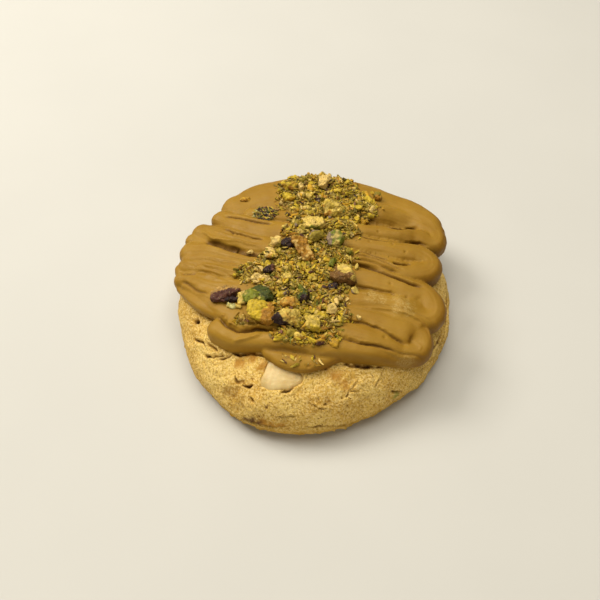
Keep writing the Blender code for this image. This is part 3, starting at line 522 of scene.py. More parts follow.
# Where the chopped nuts lie: centre, half sizes and weight of each patch
NUT_PATCHES = [
    (3.0, 35.0, 12.5, 9.5, 1.0), (14.0, 29.0, 7.5, 6.5, 0.8), (4.5, 23.0, 10.5, 6.0, 1.0),
    (3.0, 15.0, 11.0, 4.0, 0.8), (-1.0, 3.5, 12.5, 6.0, 1.0), (-18.0, -2.5, 5.5, 4.0, 0.7),
    (-2.5, -7.0, 12.5, 6.0, 1.0), (-2.5, -17.0, 11.5, 6.0, 1.0), (-2.0, -25.0, 8.5, 3.6, 0.6),
    (-4.0, -32.0, 6.5, 2.4, 0.06), (-21.0, -20.2, 2.6, 1.8, 0.40),
]
PATCH_SPILL = 0.16              # how far pieces stray past a patch's edge
COVER_EDGE = (0.80, 1.10)
COVER_GAIN = 1.3
COVER_NOISE = [(3.0, 0.18)]
# The small heap of dark and olive shreds on the far left
SHREDS = 260
SHRED_PATCH = (-15.8, 25.0, 4.0, 3.5)
SHRED_LENGTH = (0.8, 2.6)
SHRED_WIDTH = (0.28, 0.52)
SHRED_THICKNESS = 0.7           # share of its width
SHRED_TILT = 0.4
SHRED_TINT = (0.7, 1.2)
SHRED_LEAN = (-75.0, 15.0)      # azimuths that most of them lie along
SHRED_COLOURS = [("olive", 0.26), ("yellow", 0.15), ("deep_green", 0.13), ("plum", 0.20),
                 ("dark_skin", 0.22), ("mint", 0.04)]
CRUMB_COLOURS = [
    ("yellow", 0.30), ("pale", 0.20), ("olive", 0.16), ("gold", 0.14), ("cream", 0.07),
    ("toasted", 0.08), ("green", 0.02), ("plum", 0.02), ("dark_skin", 0.01),
]
HEAP_CELL = 0.25                # of the grid that crumbs land on
HEAP_BOX = (-34.0, 34.0, -40.0, 48.0)
CRUMB_LIMIT = 28.4              # nothing lies higher than these
NUT_LIMIT = 29.0

# ---- Camera and light
CAMERA_PLACE = (-4.07, -131.85, 183.51)
CAMERA_PITCH = math.radians(36.82)
CAMERA_LENS = 39.0
CAMERA_SENSOR = 36.0
CAMERA_CLIP = (10.0, 10000.0)
FLOOR_HALF = 1500.0
FLOOR_MOTTLE = 1.02
LIGHTS = {                      # place, size, power and colour
    "window": ((-600.0, 350.0, 720.0), 420.0, 8.3, (1.0, 0.98, 0.95)),
    "overhead": ((0.0, 260.0, 950.0), 900.0, 10.7, (1.0, 0.97, 0.92)),
    "near_fill": ((-60.0, -700.0, 240.0), 500.0, 1.9, (1.0, 0.95, 0.84)),
}
ROOM_COLOUR = (1.0, 0.91, 0.72, 1.0)
ROOM_STRENGTH = 0.09


# ---------------------------------------------------------------- noise in numpy

HASH_STEPS = np.array([73856093, 19349663, 83492791], dtype=np.int64)
HASH_SALT = 9176263
HASH_ROUNDS = [(15, 2246822519), (13, 3266489917)]
HASH_MASK = 0xFFFFFFFF
SALT_SHIFT = 31.7
NOISE_GAIN = 1.6


def hashed(cells, salt):
    """A repeatable number from 0 to 1 for each row of whole numbers."""
    mixed = (cells @ HASH_STEPS + salt * HASH_SALT) & HASH_MASK
    for shift, factor in HASH_ROUNDS:
        mixed = ((mixed ^ (mixed >> shift)) * factor) & HASH_MASK
    return (mixed ^ (mixed >> 16)) / HASH_MASK


def soft_noise(places, wavelength, salt=0):
    """Gradient noise from about -1 to 1 at rows of places; each salt gives another field."""
    scaled = places / wavelength + SALT_SHIFT * salt
    cell = np.floor(scaled).astype(np.int64)
    part = scaled - cell
    fade = part ** 3 * (part * (part * 6.0 - 15.0) + 10.0)
    total = np.zeros(len(scaled))
    for corner in itertools.product((0, 1), repeat=3):
        offset = np.array(corner)
        slope = np.stack([hashed(cell + offset, 3 * salt + axis) for axis in range(3)], axis=1)
        weight = np.prod(np.where(offset, fade, 1.0 - fade), axis=1)
        total += weight * ((part - offset) * (2.0 * slope - 1.0)).sum(axis=1)
    return NOISE_GAIN * total


def layered(places, layers, salt, mean=0.0):
    """A mean value with layers of soft noise on it."""
    return mean + sum(height * soft_noise(places, wavelength, salt + step)
                      for step, (wavelength, height) in enumerate(layers))


def cell_noise(places, size, salt=0):
    """Distance to the nearest scattered point and that point's own number from 0 to 1."""
    scaled = places / size
    cell = np.floor(scaled).astype(np.int64)
    nearest = np.full(len(scaled), np.inf)
    number = np.zeros(len(scaled))
    for corner in itertools.product((-1, 0, 1), repeat=3):
        other = cell + np.array(corner)
        point = np.stack([hashed(other, 5 * salt + axis) for axis in range(3)], axis=1)
        distance = np.linalg.norm(other + point - scaled, axis=1)
        closer = distance < nearest
        nearest[closer] = distance[closer]
        number[closer] = hashed(other[closer], 5 * salt + 4)
    return size * nearest, number


def wander(places, wavelength, amount, salt):
    """The places, each moved a little by noise, which makes straight lines wander."""
    shift = [soft_noise(places, wavelength, salt + axis) for axis in range(places.shape[1])]
    return places + amount * np.stack(shift, axis=1)


# ---------------------------------------------------------------- curves and profiles

def smooth_step(low, high, values):
    """0 at low, 1 at high and a soft rise between."""
    share = np.clip((np.asarray(values) - low) / (high - low), 0.0, 1.0)
    return share * share * (3.0 - 2.0 * share)


def bell(distance, half_width):
    """1 in the middle of a rounded mark, and next to nothing at twice its half width."""
    return np.exp(-(distance / half_width) ** 2)


def line_distance(places, points):
    """Distance from each place to a line through points, and how far along it, from 0 to 1."""
    points = np.array(points, float)
    lengths = np.linalg.norm(np.diff(points, axis=0), axis=1)
    starts = np.concatenate([[0.0], np.cumsum(lengths)])
    nearest = np.full(len(places), np.inf)
    along = np.zeros(len(places))
    for start, end, length, before in zip(points[:-1], points[1:], lengths, starts):
        if length == 0.0:
            continue
        run = end - start
        share = np.clip((places - start) @ run / length ** 2, 0.0, 1.0)
        distance = np.linalg.norm(places - start - share[:, None] * run, axis=1)
        closer = distance < nearest
        nearest[closer] = distance[closer]
        along[closer] = (before + share[closer] * length) / starts[-1]
    return nearest, along


def smooth_path(points, step):
    """Rows read evenly along a Catmull-Rom curve through the given rows."""
    rows = np.array(points, float)
    rows = np.vstack([2 * rows[0] - rows[1], rows, 2 * rows[-1] - rows[-2]])
    out = []
    for a, b, c, d in zip(rows[:-3], rows[1:-2], rows[2:-1], rows[3:]):
        count = max(2, round(float(np.hypot(*(c - b)[:2])) / step))
        for t in np.arange(count) / count:
            out.append(0.5 * (2 * b + (c - a) * t + (2 * a - 5 * b + 4 * c - d) * t ** 2
                              + (3 * b - a - 3 * c + d) * t ** 3))
    out.append(rows[-2])
    return np.array(out)


def headings(path):
    """Unit vectors along a path, seen from above."""
    ahead = np.gradient(path[:, :2], axis=0)
    return ahead / np.linalg.norm(ahead, axis=1)[:, None]


# ---------------------------------------------------------------- meshes

def make_object(name, verts, faces, material=None, attributes=None, faceted=False):
    """Object from millimetre vertices and faces, with named numbers kept on its vertices."""
    mesh = bpy.data.meshes.new(name)
    mesh.from_pydata((np.asarray(verts) * MM).tolist(), [], faces)
    mesh.validate()
    if not faceted:
        mesh.shade_smooth()
    for key, values in (attributes or {}).items():
        values = np.asarray(values, float)
        kind, field = ("FLOAT_VECTOR", "vector") if values.ndim == 2 else ("FLOAT", "value")
        mesh.attributes.new(key, kind, "POINT").data.foreach_set(field, values.ravel())
    if material:
        mesh.materials.append(material)
    obj = bpy.data.objects.new(name, mesh)
    bpy.context.scene.collection.objects.link(obj)
    return obj


def declare(obj, node):
    """Say which solid a piece stands for: hang the piece under the root body and hide that solid."""
    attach(obj, "root")
    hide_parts(node)


def evaluated_arrays(obj):
    """Vertices in millimetres, normals and faces with the modifiers applied; the object goes."""
    graph = bpy.context.evaluated_depsgraph_get()
    mesh = bpy.data.meshes.new_from_object(obj.evaluated_get(graph))
    verts = np.empty(len(mesh.vertices) * 3)
    mesh.vertices.foreach_get("co", verts)
    normals = np.empty(len(mesh.vertices) * 3)
    mesh.vertex_normals.foreach_get("vector", normals)
    faces = [tuple(face.vertices) for face in mesh.polygons]
    bpy.data.objects.remove(obj, do_unlink=True)
    bpy.data.meshes.remove(mesh)
    return verts.reshape(-1, 3) / MM, normals.reshape(-1, 3), faces


def remeshed(verts, faces, voxel):
    """Vertices, normals and faces of a closed surface rebuilt from voxels."""
    body = make_object("remeshing", verts, faces)
    remesh = body.modifiers.new("voxels", "REMESH")
    remesh.mode = "VOXEL"
    remesh.voxel_size = voxel * MM
    return evaluated_arrays(body)


def softened(verts, faces, rounds):
    """Vertices and normals of a mesh after some rounds of smoothing."""
    body = make_object("softening", verts, faces)
    soften = body.modifiers.new("soften", "SMOOTH")
    soften.factor = 0.5
    soften.iterations = rounds
    return evaluated_arrays(body)[:2]


def joined(parts):
    """Vertices and faces of several meshes as one."""
    faces = []
    count = 0
    for verts, part_faces in parts:
        faces += [tuple(index + count for index in face) for face in part_faces]
        count += len(verts)
    return np.vstack([verts for verts, _ in parts]), faces


def ring_faces(rings, spokes):
    """Quads between rings of vertices that each close on themselves."""
    faces = []
    for ring in range(rings - 1):
        base = ring * spokes
        for k in range(spokes):
            j = (k + 1) % spokes
            faces.append((base + k, base + spokes + k, base + spokes + j, base + j))
    return faces


def end_faces(rings, spokes):
    """The faces that close the first and the last of those rings."""
    last = (rings - 1) * spokes
    return [tuple(range(spokes)), tuple(reversed(range(last, last + spokes)))]


def point_tree(points):
    """A tree that finds the nearest of some points."""
    tree = KDTree(len(points))
    for index, point in enumerate(points):
        tree.insert(point, index)
    tree.balance()
    return tree


def surface_tree(verts, faces):
    """A tree that finds where a ray meets a surface."""
    return BVHTree.FromPolygons(verts.tolist(), faces)


def height_over(tree, x, y):
    """Height of a surface over the point (x, y), or None beside it."""
    hit = tree.ray_cast(Vector((x, y, ABOVE_ALL)), Vector((0.0, 0.0, -1.0)))[0]
    return hit.z if hit else None


# ---------------------------------------------------------------- material nodes

class Nodes:
    """Short calls that build one material's node tree."""

    def __init__(self, name):
        self.material = bpy.data.materials.new(name)
        self.material.use_nodes = True
        self.tree = self.material.node_tree
        self.shader = self.tree.nodes["Principled BSDF"]
        self.place = self.node("TexCoord", "Object")

    def join(self, value, socket):
        """Put a number, a colour or another node's output into a socket."""
        if isinstance(value, bpy.types.NodeSocket):
            self.tree.links.new(value, socket)
        elif hasattr(value, "__len__") and len(value) == 3 and socket.type == "RGBA":
            socket.default_value = (*value, 1.0)
        else:
            socket.default_value = value

    def node(self, kind, output, inputs=None, **settings):
        """One output of a new node with some settings and inputs."""
        node = self.tree.nodes.new("ShaderNode" + kind)
        for name, value in settings.items():
            setattr(node, name, value)
        for name, value in (inputs or {}).items():
            self.join(value, node.inputs[name])
        return node.outputs[output]

    def attribute(self, name, output="Fac"):
        """A number kept on the vertices."""
        return self.node("Attribute", output, attribute_name=name)

    def noise(self, wavelength, detail=3.0, place=None, roughness=0.55):
        """Noise from 0 to 1 with features of about a wavelength in millimetres."""
        inputs = {"Vector": place or self.place, "Scale": 1.0 / (wavelength * MM),
                  "Detail": detail, "Roughness": roughness}
        return self.node("TexNoise", "Fac", inputs)

    def cells(self, size, output="Distance"):
        """Cells of about a size in millimetres."""
        return self.node("TexVoronoi", output, {"Vector": self.place, "Scale": 1.0 / (size * MM)})

    def ramp(self, value, low, high, start=0.0, end=1.0):
        """The value rescaled softly from low..high to start..end."""
        inputs = {"Value": value, "From Min": low, "From Max": high, "To Min": start, "To Max": end}
        return self.node("MapRange", "Result", inputs, interpolation_type="SMOOTHSTEP")

    def mix(self, share, first, second):
        """Colour between two colours."""
        return self.node("Mix", 2, {0: share, 6: first, 7: second}, data_type="RGBA")

    def times(self, first, second):
        """Product of two numbers."""
        return self.node("Math", 0, {0: first, 1: second}, operation="MULTIPLY")

    def bump(self, height, depth, normal=None):
        """Normal roughened by a height from 0 to 1 that stands for a depth in millimetres."""
        inputs = {"Height": height, "Distance": depth * MM}
        if normal:
            inputs["Normal"] = normal
        return self.node("Bump", "Normal", inputs)

    def ground(self, wavelength, detail, start, end, colours):
        """The base colour, which drifts between its shade and its light tone."""
        drift = self.ramp(self.noise(wavelength, detail), start, end)
        return self.mix(drift, colours["shade"], colours["light"])

    def finish(self, **inputs):
        """Feed the shader's sockets, named with _ for a space, and return the material."""
        for name, value in inputs.items():
            self.join(value, self.shader.inputs[name.replace("_", " ")])
        return self.material


def dough_material():
    """Sandy, matt crust: pale on its crests, with painted shade in its pits and hollows, a painted
    shadow in its cracks, and baked-in spots.
    """
    nodes = Nodes("dough_crust")
    colour = nodes.ground(10.0, 3.0, 0.35, 0.68, DOUGH_COLOURS)
    patches = nodes.ramp(nodes.noise(5.0), 0.45, 0.62, 0.10, 0.85)
    relief = nodes.attribute("relief")
    foot = nodes.ramp(nodes.noise(2.5), 0.3, 0.6)
    layers = [                  # each colour, where it lies and how strongly it shows there
        ("pale_grain", nodes.ramp(nodes.noise(0.55, 1.0), 0.46, 0.58), 0.45),
        ("dark_grain", nodes.ramp(nodes.noise(0.60, 1.0), 0.55, 0.65), 0.58),
        ("fleck", nodes.ramp(nodes.noise(1.3, 4.0, roughness=0.75), 0.60, 0.68), 0.65),
        ("pinprick", nodes.ramp(nodes.cells(1.3), 0.22, 0.12), patches),
        ("toast", nodes.ramp(nodes.noise(3.2, 4.0, roughness=0.7), 0.54, 0.66), 0.45),
        # Painted shade in the hollows and pits, and a painted shadow in the cracks
        ("painted_hollow_shade", nodes.ramp(relief, -0.15, -0.60), 0.7),
        ("crack", nodes.ramp(relief, -0.55, -1.30), 0.97),
        ("foot", nodes.attribute("foot_band"), foot),
    ]
    for name, mask, strength in layers:
        colour = nodes.mix(nodes.times(mask, strength), colour, DOUGH_COLOURS[name])
    for name, stain in STAIN_COLOURS.items():
        colour = nodes.mix(nodes.attribute(name), colour, stain)
    coarse = nodes.bump(nodes.noise(0.7, 4.0, roughness=0.75), 0.17)
    return nodes.finish(
        Base_Color=colour,
        Roughness=nodes.ramp(nodes.noise(1.5), 0.3, 0.7, 0.88, 0.98),
        Specular_IOR_Level=0.06,
        Normal=nodes.bump(nodes.cells(0.45), 0.08, coarse),
    )


def dust_colour(nodes):
    """Colour of the nut grit, which changes from grain to grain; its dark grains are also painted
    shade in the gaps between the nuts.
    """
    grain = nodes.node("SeparateColor", 0, {0: nodes.cells(0.7, "Color")})
    share = nodes.ramp(grain, 0.2, 0.8)
    return nodes.mix(share, CREAM_COLOURS["dark_dust_and_gap_shade"], CREAM_COLOURS["pale_dust"])


def cream_material():
    """Satin nut cream with fine drag marks along the strokes and nut dust where it lies; painted
    shade in its hollows, on the sides turned from the window and in the dust's dark grains, and pale
    patches that are partly scuffs and partly a painted highlight.
    """
    nodes = Nodes("nut_cream")
    colour = nodes.ground(14.0, 2.0, 0.35, 0.65, CREAM_COLOURS)
    # Pale patches, partly scuffs and partly a painted highlight, broken into grains
    scuff_and_highlight_grains = nodes.ramp(nodes.noise(SCUFF_AND_HIGHLIGHT_GRAIN, 4.0, roughness=0.7), 0.40, 0.62)
    scuff_and_highlight = nodes.times(nodes.attribute("scuff_and_highlight"), scuff_and_highlight_grains)
    # Painted shade in the valleys, grooves and pits, read from the relief
    painted_hollow_shade = nodes.times(nodes.ramp(nodes.attribute("relief"), -0.1, -0.9), 0.8)
    # The deep mask is painted shade on the sides turned away from the window
    masks = {"scuff_and_highlight": scuff_and_highlight, "deep": nodes.attribute("deep"), "painted_hollow_shade": painted_hollow_shade}
    for name, mask in masks.items():
        colour = nodes.mix(mask, colour, CREAM_COLOURS[name])
    # Nut dust under the heap; its dark grains are partly painted shade in the gaps between the pieces
    colour = nodes.mix(nodes.times(nodes.attribute("dust"), 0.9), colour, dust_colour(nodes))
    stroke = nodes.attribute("stroke", "Vector")
    streaks = nodes.bump(nodes.noise(1.0, 3.0, stroke), 0.10)
    return nodes.finish(
        Base_Color=colour,
        Roughness=nodes.ramp(nodes.noise(2.5, 4.0), 0.3, 0.7, 0.50, 0.66),
        Specular_IOR_Level=0.32,
        Specular_Tint=(1.0, 0.88, 0.62),
        Subsurface_Weight=0.08,
        Subsurface_Radius=(1.0, 0.5, 0.2),
        Subsurface_Scale=1.5 * MM,
        Normal=nodes.bump(nodes.noise(0.6, 3.0), 0.035, streaks),
    )


def chocolate_material():
    """Waxy white chocolate with faint bloom and a few fine marks, browned at its edge."""
    nodes = Nodes("white_chocolate_wax")
    colour = nodes.ground(4.0, 3.0, 0.35, 0.7, CHOCOLATE_COLOURS)
    browned = nodes.times(nodes.ramp(nodes.attribute("edge"), 0.2, 1.0), 0.4)
    coarse = nodes.bump(nodes.noise(1.6, 4.0), 0.12)
    return nodes.finish(
        Base_Color=nodes.mix(browned, colour, CHOCOLATE_COLOURS["browned"]),
        Roughness=nodes.ramp(nodes.noise(1.0), 0.3, 0.7, 0.42, 0.62),
        Subsurface_Weight=0.25,
        Subsurface_Radius=(1.0, 0.6, 0.3),
        Subsurface_Scale=2.0 * MM,
        Normal=nodes.bump(nodes.noise(0.4, 2.0), 0.03, coarse),
    )


def nut_material(name, vary, freckles, grits):
    """Chopped pistachio: each piece's own colour, mottled, with fine pale grit stuck to it."""
    nodes = Nodes(name)
    bright = nodes.ramp(nodes.noise(1.1, 4.0), 0.3, 0.7, 1.0 - vary, 1.0 + 0.6 * vary)
    inputs = {"Color": nodes.attribute("tint", "Color"), "Value": bright}
    freckle = nodes.times(nodes.ramp(nodes.noise(0.7, 3.0), 0.60, 0.74), freckles)
    colour = nodes.mix(freckle, nodes.node("HueSaturation", 0, inputs), FRECKLE_COLOUR)
    grit = nodes.times(nodes.ramp(nodes.cells(0.55), 0.16, 0.10), grits)
    coarse = nodes.bump(nodes.noise(0.8, 4.0, roughness=0.7), 0.22)
    return nodes.finish(
        Base_Color=nodes.mix(grit, colour, GRIT_COLOUR),
        Roughness=nodes.ramp(nodes.noise(0.9), 0.3, 0.7, 0.48, 0.72),
        Specular_IOR_Level=0.22,
        Normal=nodes.bump(nodes.cells(0.3), 0.05, coarse),
    )


def floor_material():
    """Plain pale tabletop with the faintest mottle."""
    nodes = Nodes("pale_floor")
    tones = {"shade": FLOOR_COLOUR, "light": tuple(FLOOR_MOTTLE * part for part in FLOOR_COLOUR)}
    return nodes.finish(Base_Color=nodes.ground(60.0, 2.0, 0.3, 0.7, tones), Roughness=0.85)


# ---------------------------------------------------------------- dough

def outline_radius(azimuth):
    """Radius of the dough's bulge at azimuths in radians."""
    radius = np.full(np.shape(azimuth), DOUGH_RADIUS)
    for centre, spread, amount in DOUGH_BULGES:
        turn = (np.degrees(azimuth) - centre + 180.0) % 360.0 - 180.0
        radius = radius + amount * bell(turn, spread)
    return radius


UPPER_PROFILE = smooth_path(DOUGH_PROFILE, TOP_STEP)
UPPER_PROFILE = UPPER_PROFILE[:np.argmax(UPPER_PROFILE[:, 0]) + 1]


def dough_top(x, y):
    """Height of the dough's upper side over the points (x, y)."""
    fraction = np.hypot(x, y) / outline_radius(np.arctan2(y, x))
    return DOUGH_HEIGHT * np.interp(fraction, *UPPER_PROFILE.T)


def dough_rings():
    """Radius fraction and height of each ring, from the middle of the top to the foot."""
    side = smooth_path(DOUGH_PROFILE, SIDE_STEP) * (DOUGH_RADIUS, DOUGH_HEIGHT)
    along = np.concatenate([[0.0], np.cumsum(np.hypot(*np.diff(side, axis=0).T))])
    widest = np.argmax(side[:, 0])
    hidden = np.interp(HIDDEN_RADIUS, side[:widest, 0], along[:widest])
    shown = round((along[-1] - hidden) / RING_STEP)
    places = np.concatenate([np.linspace(0.0, hidden, HIDDEN_RINGS, endpoint=False)[1:],
                             np.linspace(hidden, along[-1], shown)])
    return np.interp(places, along, side[:, 0]) / DOUGH_RADIUS, np.interp(places, along, side[:, 1])


def dough_grid():
    """The smooth round of dough, as a grid of rings and spokes from its top to its foot."""
    fractions, heights = dough_rings()
    azimuths = np.linspace(-math.pi, math.pi, DOUGH_SPOKES, endpoint=False)
    radii = np.outer(fractions, outline_radius(azimuths))
    return np.stack([radii * np.cos(azimuths), radii * np.sin(azimuths),
                     np.repeat(heights[:, None], DOUGH_SPOKES, axis=1)], axis=2)


def grid_normals(grid):
    """Outward normals of a (rings, spokes, 3) grid that closes on itself round the spokes."""
    down = np.gradient(grid, axis=0)
    ahead = np.roll(grid, -1, axis=1) - np.roll(grid, 1, axis=1)
    normals = np.cross(down, ahead)
    return normals / np.linalg.norm(normals, axis=2, keepdims=True)


def crust_relief(places):
    """Height of the fine crust relief: crags, sandy grains and pits."""
    crags = layered(places, CRUST_NOISE, 0) * layered(places, CRAGGY_NOISE, 9, 1.0)
    grain, _ = cell_noise(places, GRAIN_SIZE, 1)
    grains = GRAIN_HEIGHT * (0.5 - grain / GRAIN_SIZE)
    pit, number = cell_noise(wander(places, *PIT_WANDER, 20), PIT_SPACING, 2)
    deep = np.where(number < PIT_SHARE, number / PIT_SHARE, 0.0)
    return crags + grains - PIT_DEPTH * deep * bell(pit, PIT_RADIUS)


def on_crust(tree, points):
    """The nearest places of the crust to the given rows, where the first three are a place."""
    return [(*tree.find(row[:3])[0], *row[3:]) for row in points]


def crack_relief(places, tree):
    """Depth of the cracks, which thin out towards their ends, and height of their lips."""
    moved = wander(places, *CRACK_WANDER, 30)
    broken = layered(places, CRACK_NOISE, 34, CRACK_MEAN)
    cuts = np.zeros(len(places))
    lips = np.zeros(len(places))
    for points, depth, half_width in CRACKS.values():
        line = on_crust(tree, smooth_path(points, CRACK_STEP))
        distance, along = line_distance(moved, line)
        taper = CRACK_ENDS + (1.0 - CRACK_ENDS) * np.sin(math.pi * along)
        out = distance / (half_width * taper)
        cuts = np.minimum(cuts, -depth * taper * broken * bell(out, 1.0))
        lips = np.maximum(lips, CRACK_LIP * taper * bell(out - LIP_PLACE, LIP_SPAN))
    return np.where(cuts < LIP_LEVEL, cuts, lips)


def foot_relief(places):
    """The thin, flaky ledge at the foot and the broken crease above it."""
    height = places[:, 2] + layered(places, FOOT_LEVEL_NOISE, 47)
    flaky = layered(places, LEDGE_NOISE, 44, LEDGE_MEAN)
    ledge = LEDGE_REACH * flaky * bell(height - LEDGE_HEIGHT, LEDGE_SPAN)
    broken = np.clip(layered(places, CREASE_NOISE, 46, CREASE_MEAN), 0.0, 1.0)
    crease = CREASE_DEPTH * broken * bell(height - CREASE_HEIGHT, CREASE_SPAN)
    strength = layered(places, FOOT_STRENGTH_NOISE, 49, FOOT_STRENGTH)
    return np.clip(strength, *FOOT_STRENGTH_LIMITS) * (ledge - crease)


def foot_band(places):
    """How strongly the crust is browned in a band above the foot."""
    height = places[:, 2] + layered(places, BAND_NOISE, 48)
    return BAND_SHARE * smooth_step(*BAND_START, height) * smooth_step(*BAND_END, height)


def seat_relief(places):
    """How calm the crust is near the lump, and how deep the pocket under it goes."""
    near = np.linalg.norm(places[:, :2] - LUMP_MIDDLE, axis=1) < SEAT_REACH
    near &= places[:, 2] > SEAT_LOWEST
    share = np.full(len(places), np.inf)
    share[near] = lump_share(places[near, 0], places[near, 1])
    share[near] += layered(places[near], SEAT_NOISE, 90)
    return smooth_step(*SEAT_CALM, share), SEAT_DEPTH * (1.0 - smooth_step(*SEAT_WALL, share))


def stain_share(places, spots):
    """How strongly each place is coloured by some round spots with ragged edges."""
    share = np.zeros(len(places))
    ragged = layered(places, STAIN_NOISE, 40)
    for x, y, z, radius in spots:
        distance = np.linalg.norm(places - (x, y, z), axis=1) / radius
        share = np.maximum(share, 1.0 - smooth_step(*STAIN_EDGE, distance + ragged))
    return STAIN_STRENGTH * share


def closed_dough(grid):
    """Vertices and faces of the shaped grid, closed in the middle and on the underside."""
    under = [grid[-1] * (share, share, 0.0) for share in UNDERSIDE_RINGS]
    verts = np.vstack([grid.reshape(-1, 3), *under, [[0.0, 0.0, DOUGH_HEIGHT], [0.0, 0.0, 0.0]]])
    rings = len(grid) + len(under)
    faces = ring_faces(rings, DOUGH_SPOKES)
    top, bottom = len(verts) - 2, len(verts) - 1
    last = (rings - 1) * DOUGH_SPOKES
    for k in range(DOUGH_SPOKES):
        j = (k + 1) % DOUGH_SPOKES
        faces += [(top, k, j), (bottom, last + j, last + k)]
    return verts, faces


def make_dough():
    """The round of dough, with a pocket for the lump."""
    grid = dough_grid()
    normals = grid_normals(grid).reshape(-1, 3)
    places = grid.reshape(-1, 3)
    tree = point_tree(places)
    lumps = np.array([sum(height * noise.noise(Vector(place) / wavelength)
                          for wavelength, height in DOUGH_LUMPS) for place in places])
    crust = crust_relief(places) + foot_relief(places)
    cracks = crack_relief(places, tree)
    calm, pocket = seat_relief(places)
    fade = np.clip(places[:, 2] / FOOT_FADE, 0.0, 1.0)
    rise = ((lumps + crust) * calm + cracks) * fade - pocket
    shaped = places + normals * rise[:, None]
    shaped[:, 2] = np.maximum(shaped[:, 2], 0.0)
    verts, faces = closed_dough(shaped.reshape(grid.shape))

    # the relief also drives the painted shade in the hollows and cracks
    attributes = {"relief": crust + cracks, "foot_band": foot_band(places)}
    for name, spots in STAINS.items():
        attributes[name] = stain_share(places, on_crust(tree, spots))
    spare = len(verts) - len(places)
    attributes = {name: np.pad(values, (0, spare)) for name, values in attributes.items()}
    dough = make_object("dough_round", verts, faces, dough_material(), attributes)
    declare(dough, "cookie")


# ---------------------------------------------------------------- cream

def squared(values):
    """Cosines or sines of an ellipse turned into those of a squarer oval."""
    return np.sign(values) * np.abs(values) ** PASS_SQUARENESS


def pass_tube(points, half_height, lift, edge_level):
    """One piped pass, a squared oval swept along a path with rounded ends, and its path."""
    path = smooth_path(points, PATH_STEP)
    level = np.maximum(dough_top(path[:, 0], path[:, 1]) + lift, edge_level)
    window = round(LEVEL_WINDOW / PATH_STEP) | 1
    level = np.convolve(np.pad(level, window // 2, mode="edge"), np.ones(window) / window, "valid")
    heading = headings(path)
    # Stations along the pass: point of the path, share of its half width past it and of its section
    stations = [(0, -math.sin(angle), math.cos(angle)) for angle in END_ANGLES]
    stations += [(index, 0.0, 1.0) for index in range(len(path))]
    stations += [(-1, math.sin(angle), math.cos(angle)) for angle in END_ANGLES[::-1]]
    angles = math.tau * np.arange(PASS_SIDES) / PASS_SIDES
    verts = []
    for index, past, share in stations:
        ahead = heading[index]
        width = path[index, 2]
        place = path[index, :2] + past * width * ahead
        thin = THIN_PASS_HEIGHT + (1.0 - THIN_PASS_HEIGHT) * width / FULL_WIDTH
        tall = half_height * min(1.0, thin)
        across = np.outer(squared(np.cos(angles)) * width * share, (-ahead[1], ahead[0], 0.0))
        up = np.outer(squared(np.sin(angles)) * tall * share, (0.0, 0.0, 1.0))
        verts.append(across + up + (*place, level[index]))
    faces = [tuple(reversed(face)) for face in ring_faces(len(stations), PASS_SIDES)]
    return np.vstack(verts), faces + end_faces(len(stations), PASS_SIDES), path


def merged_cream():
    """All passes and sheets run together into one surface, and their centre lines."""
    tubes = [pass_tube(points, CREAM_HALF_HEIGHT, CREAM_LIFT, CREAM_EDGE_LEVEL)
             for points in CREAM_PASSES.values()]
    tubes += [pass_tube(points, SHEET_HALF_HEIGHT, lift, 0.0)
              for lift, points in CREAM_SHEETS.values()]
    verts, faces = joined([tube[:2] for tube in tubes])
    return remeshed(verts, faces, CREAM_VOXEL), [path for _, _, path in tubes]


def stroke_coordinates(verts, paths):
    """For each vertex: across the nearest pass, along it, and the pass's own number."""
    rows = np.vstack(paths)
    number = np.repeat(np.arange(len(paths)), [len(path) for path in paths])
    tree = point_tree([(x, y, 0.0) for x, y, _ in rows])
    found = np.array([tree.find((x, y, 0.0))[1] for x, y, _ in verts])
    offset = verts[:, :2] - rows[found, :2]
    ahead = np.vstack([headings(path) for path in paths])[found]
    across = ahead[:, 0] * offset[:, 1] - ahead[:, 1] * offset[:, 0]
    along = found * PATH_STEP + (offset * ahead).sum(axis=1)
    return across, along, number[found]


def drag_streaks(verts, across, along, number):
    """Height of the drag marks along the passes, rougher in some patches."""
    places = np.c_[across / STREAK_WIDTH, along / STREAK_LENGTH, STREAK_SHIFT * number]
    dragged = np.full(len(verts), STREAK_HEIGHT)
    for x, y, radius, height in STREAK_PATCHES:
        out = np.hypot(verts[:, 0] - x, verts[:, 1] - y) / radius
        dragged = np.maximum(dragged, height * (1.0 - smooth_step(*STREAK_EDGE, out)))
    return dragged * soft_noise(places, 1.0, 63)


def line_relief(places, lines):
    """Height of some marks at places (x, y); longer marks fade out at their ends."""
    relief = np.zeros(len(places))
    for points, height, half_width in lines.values():
        distance, along = line_distance(places, points)
        fade = smooth_step(0.0, MARK_FADE, along) * smooth_step(1.0, 1.0 - MARK_FADE, along)
        if len(points) == 2:
            fade = 1.0
        relief += height * fade * bell(distance, half_width)
    return relief


def nozzle_relief(verts):
    """Height of the passes' broad slopes, and of the finer marks and pits on them."""
    moved = verts * (1.0, 1.0, 0.0)
    for salt, (wavelength, amount) in enumerate(MARK_WANDER):
        moved = wander(moved, wavelength, amount, 70 + 3 * salt)
    moved = moved[:, :2]
    torn = np.clip(layered(verts, TEAR_NOISE, 79, TEAR_MEAN), 0.0, TEAR_LIMIT)
    marks = line_relief(moved, CREAM_MARKS) + torn * line_relief(moved, TORN_LIPS)
    for place in CREAM_PITS:
        distance = np.linalg.norm(moved - place, axis=1)
        marks -= CREAM_PIT_DEPTH * bell(distance, CREAM_PIT_RADIUS)
    return line_relief(moved, CREAM_SLOPES), marks


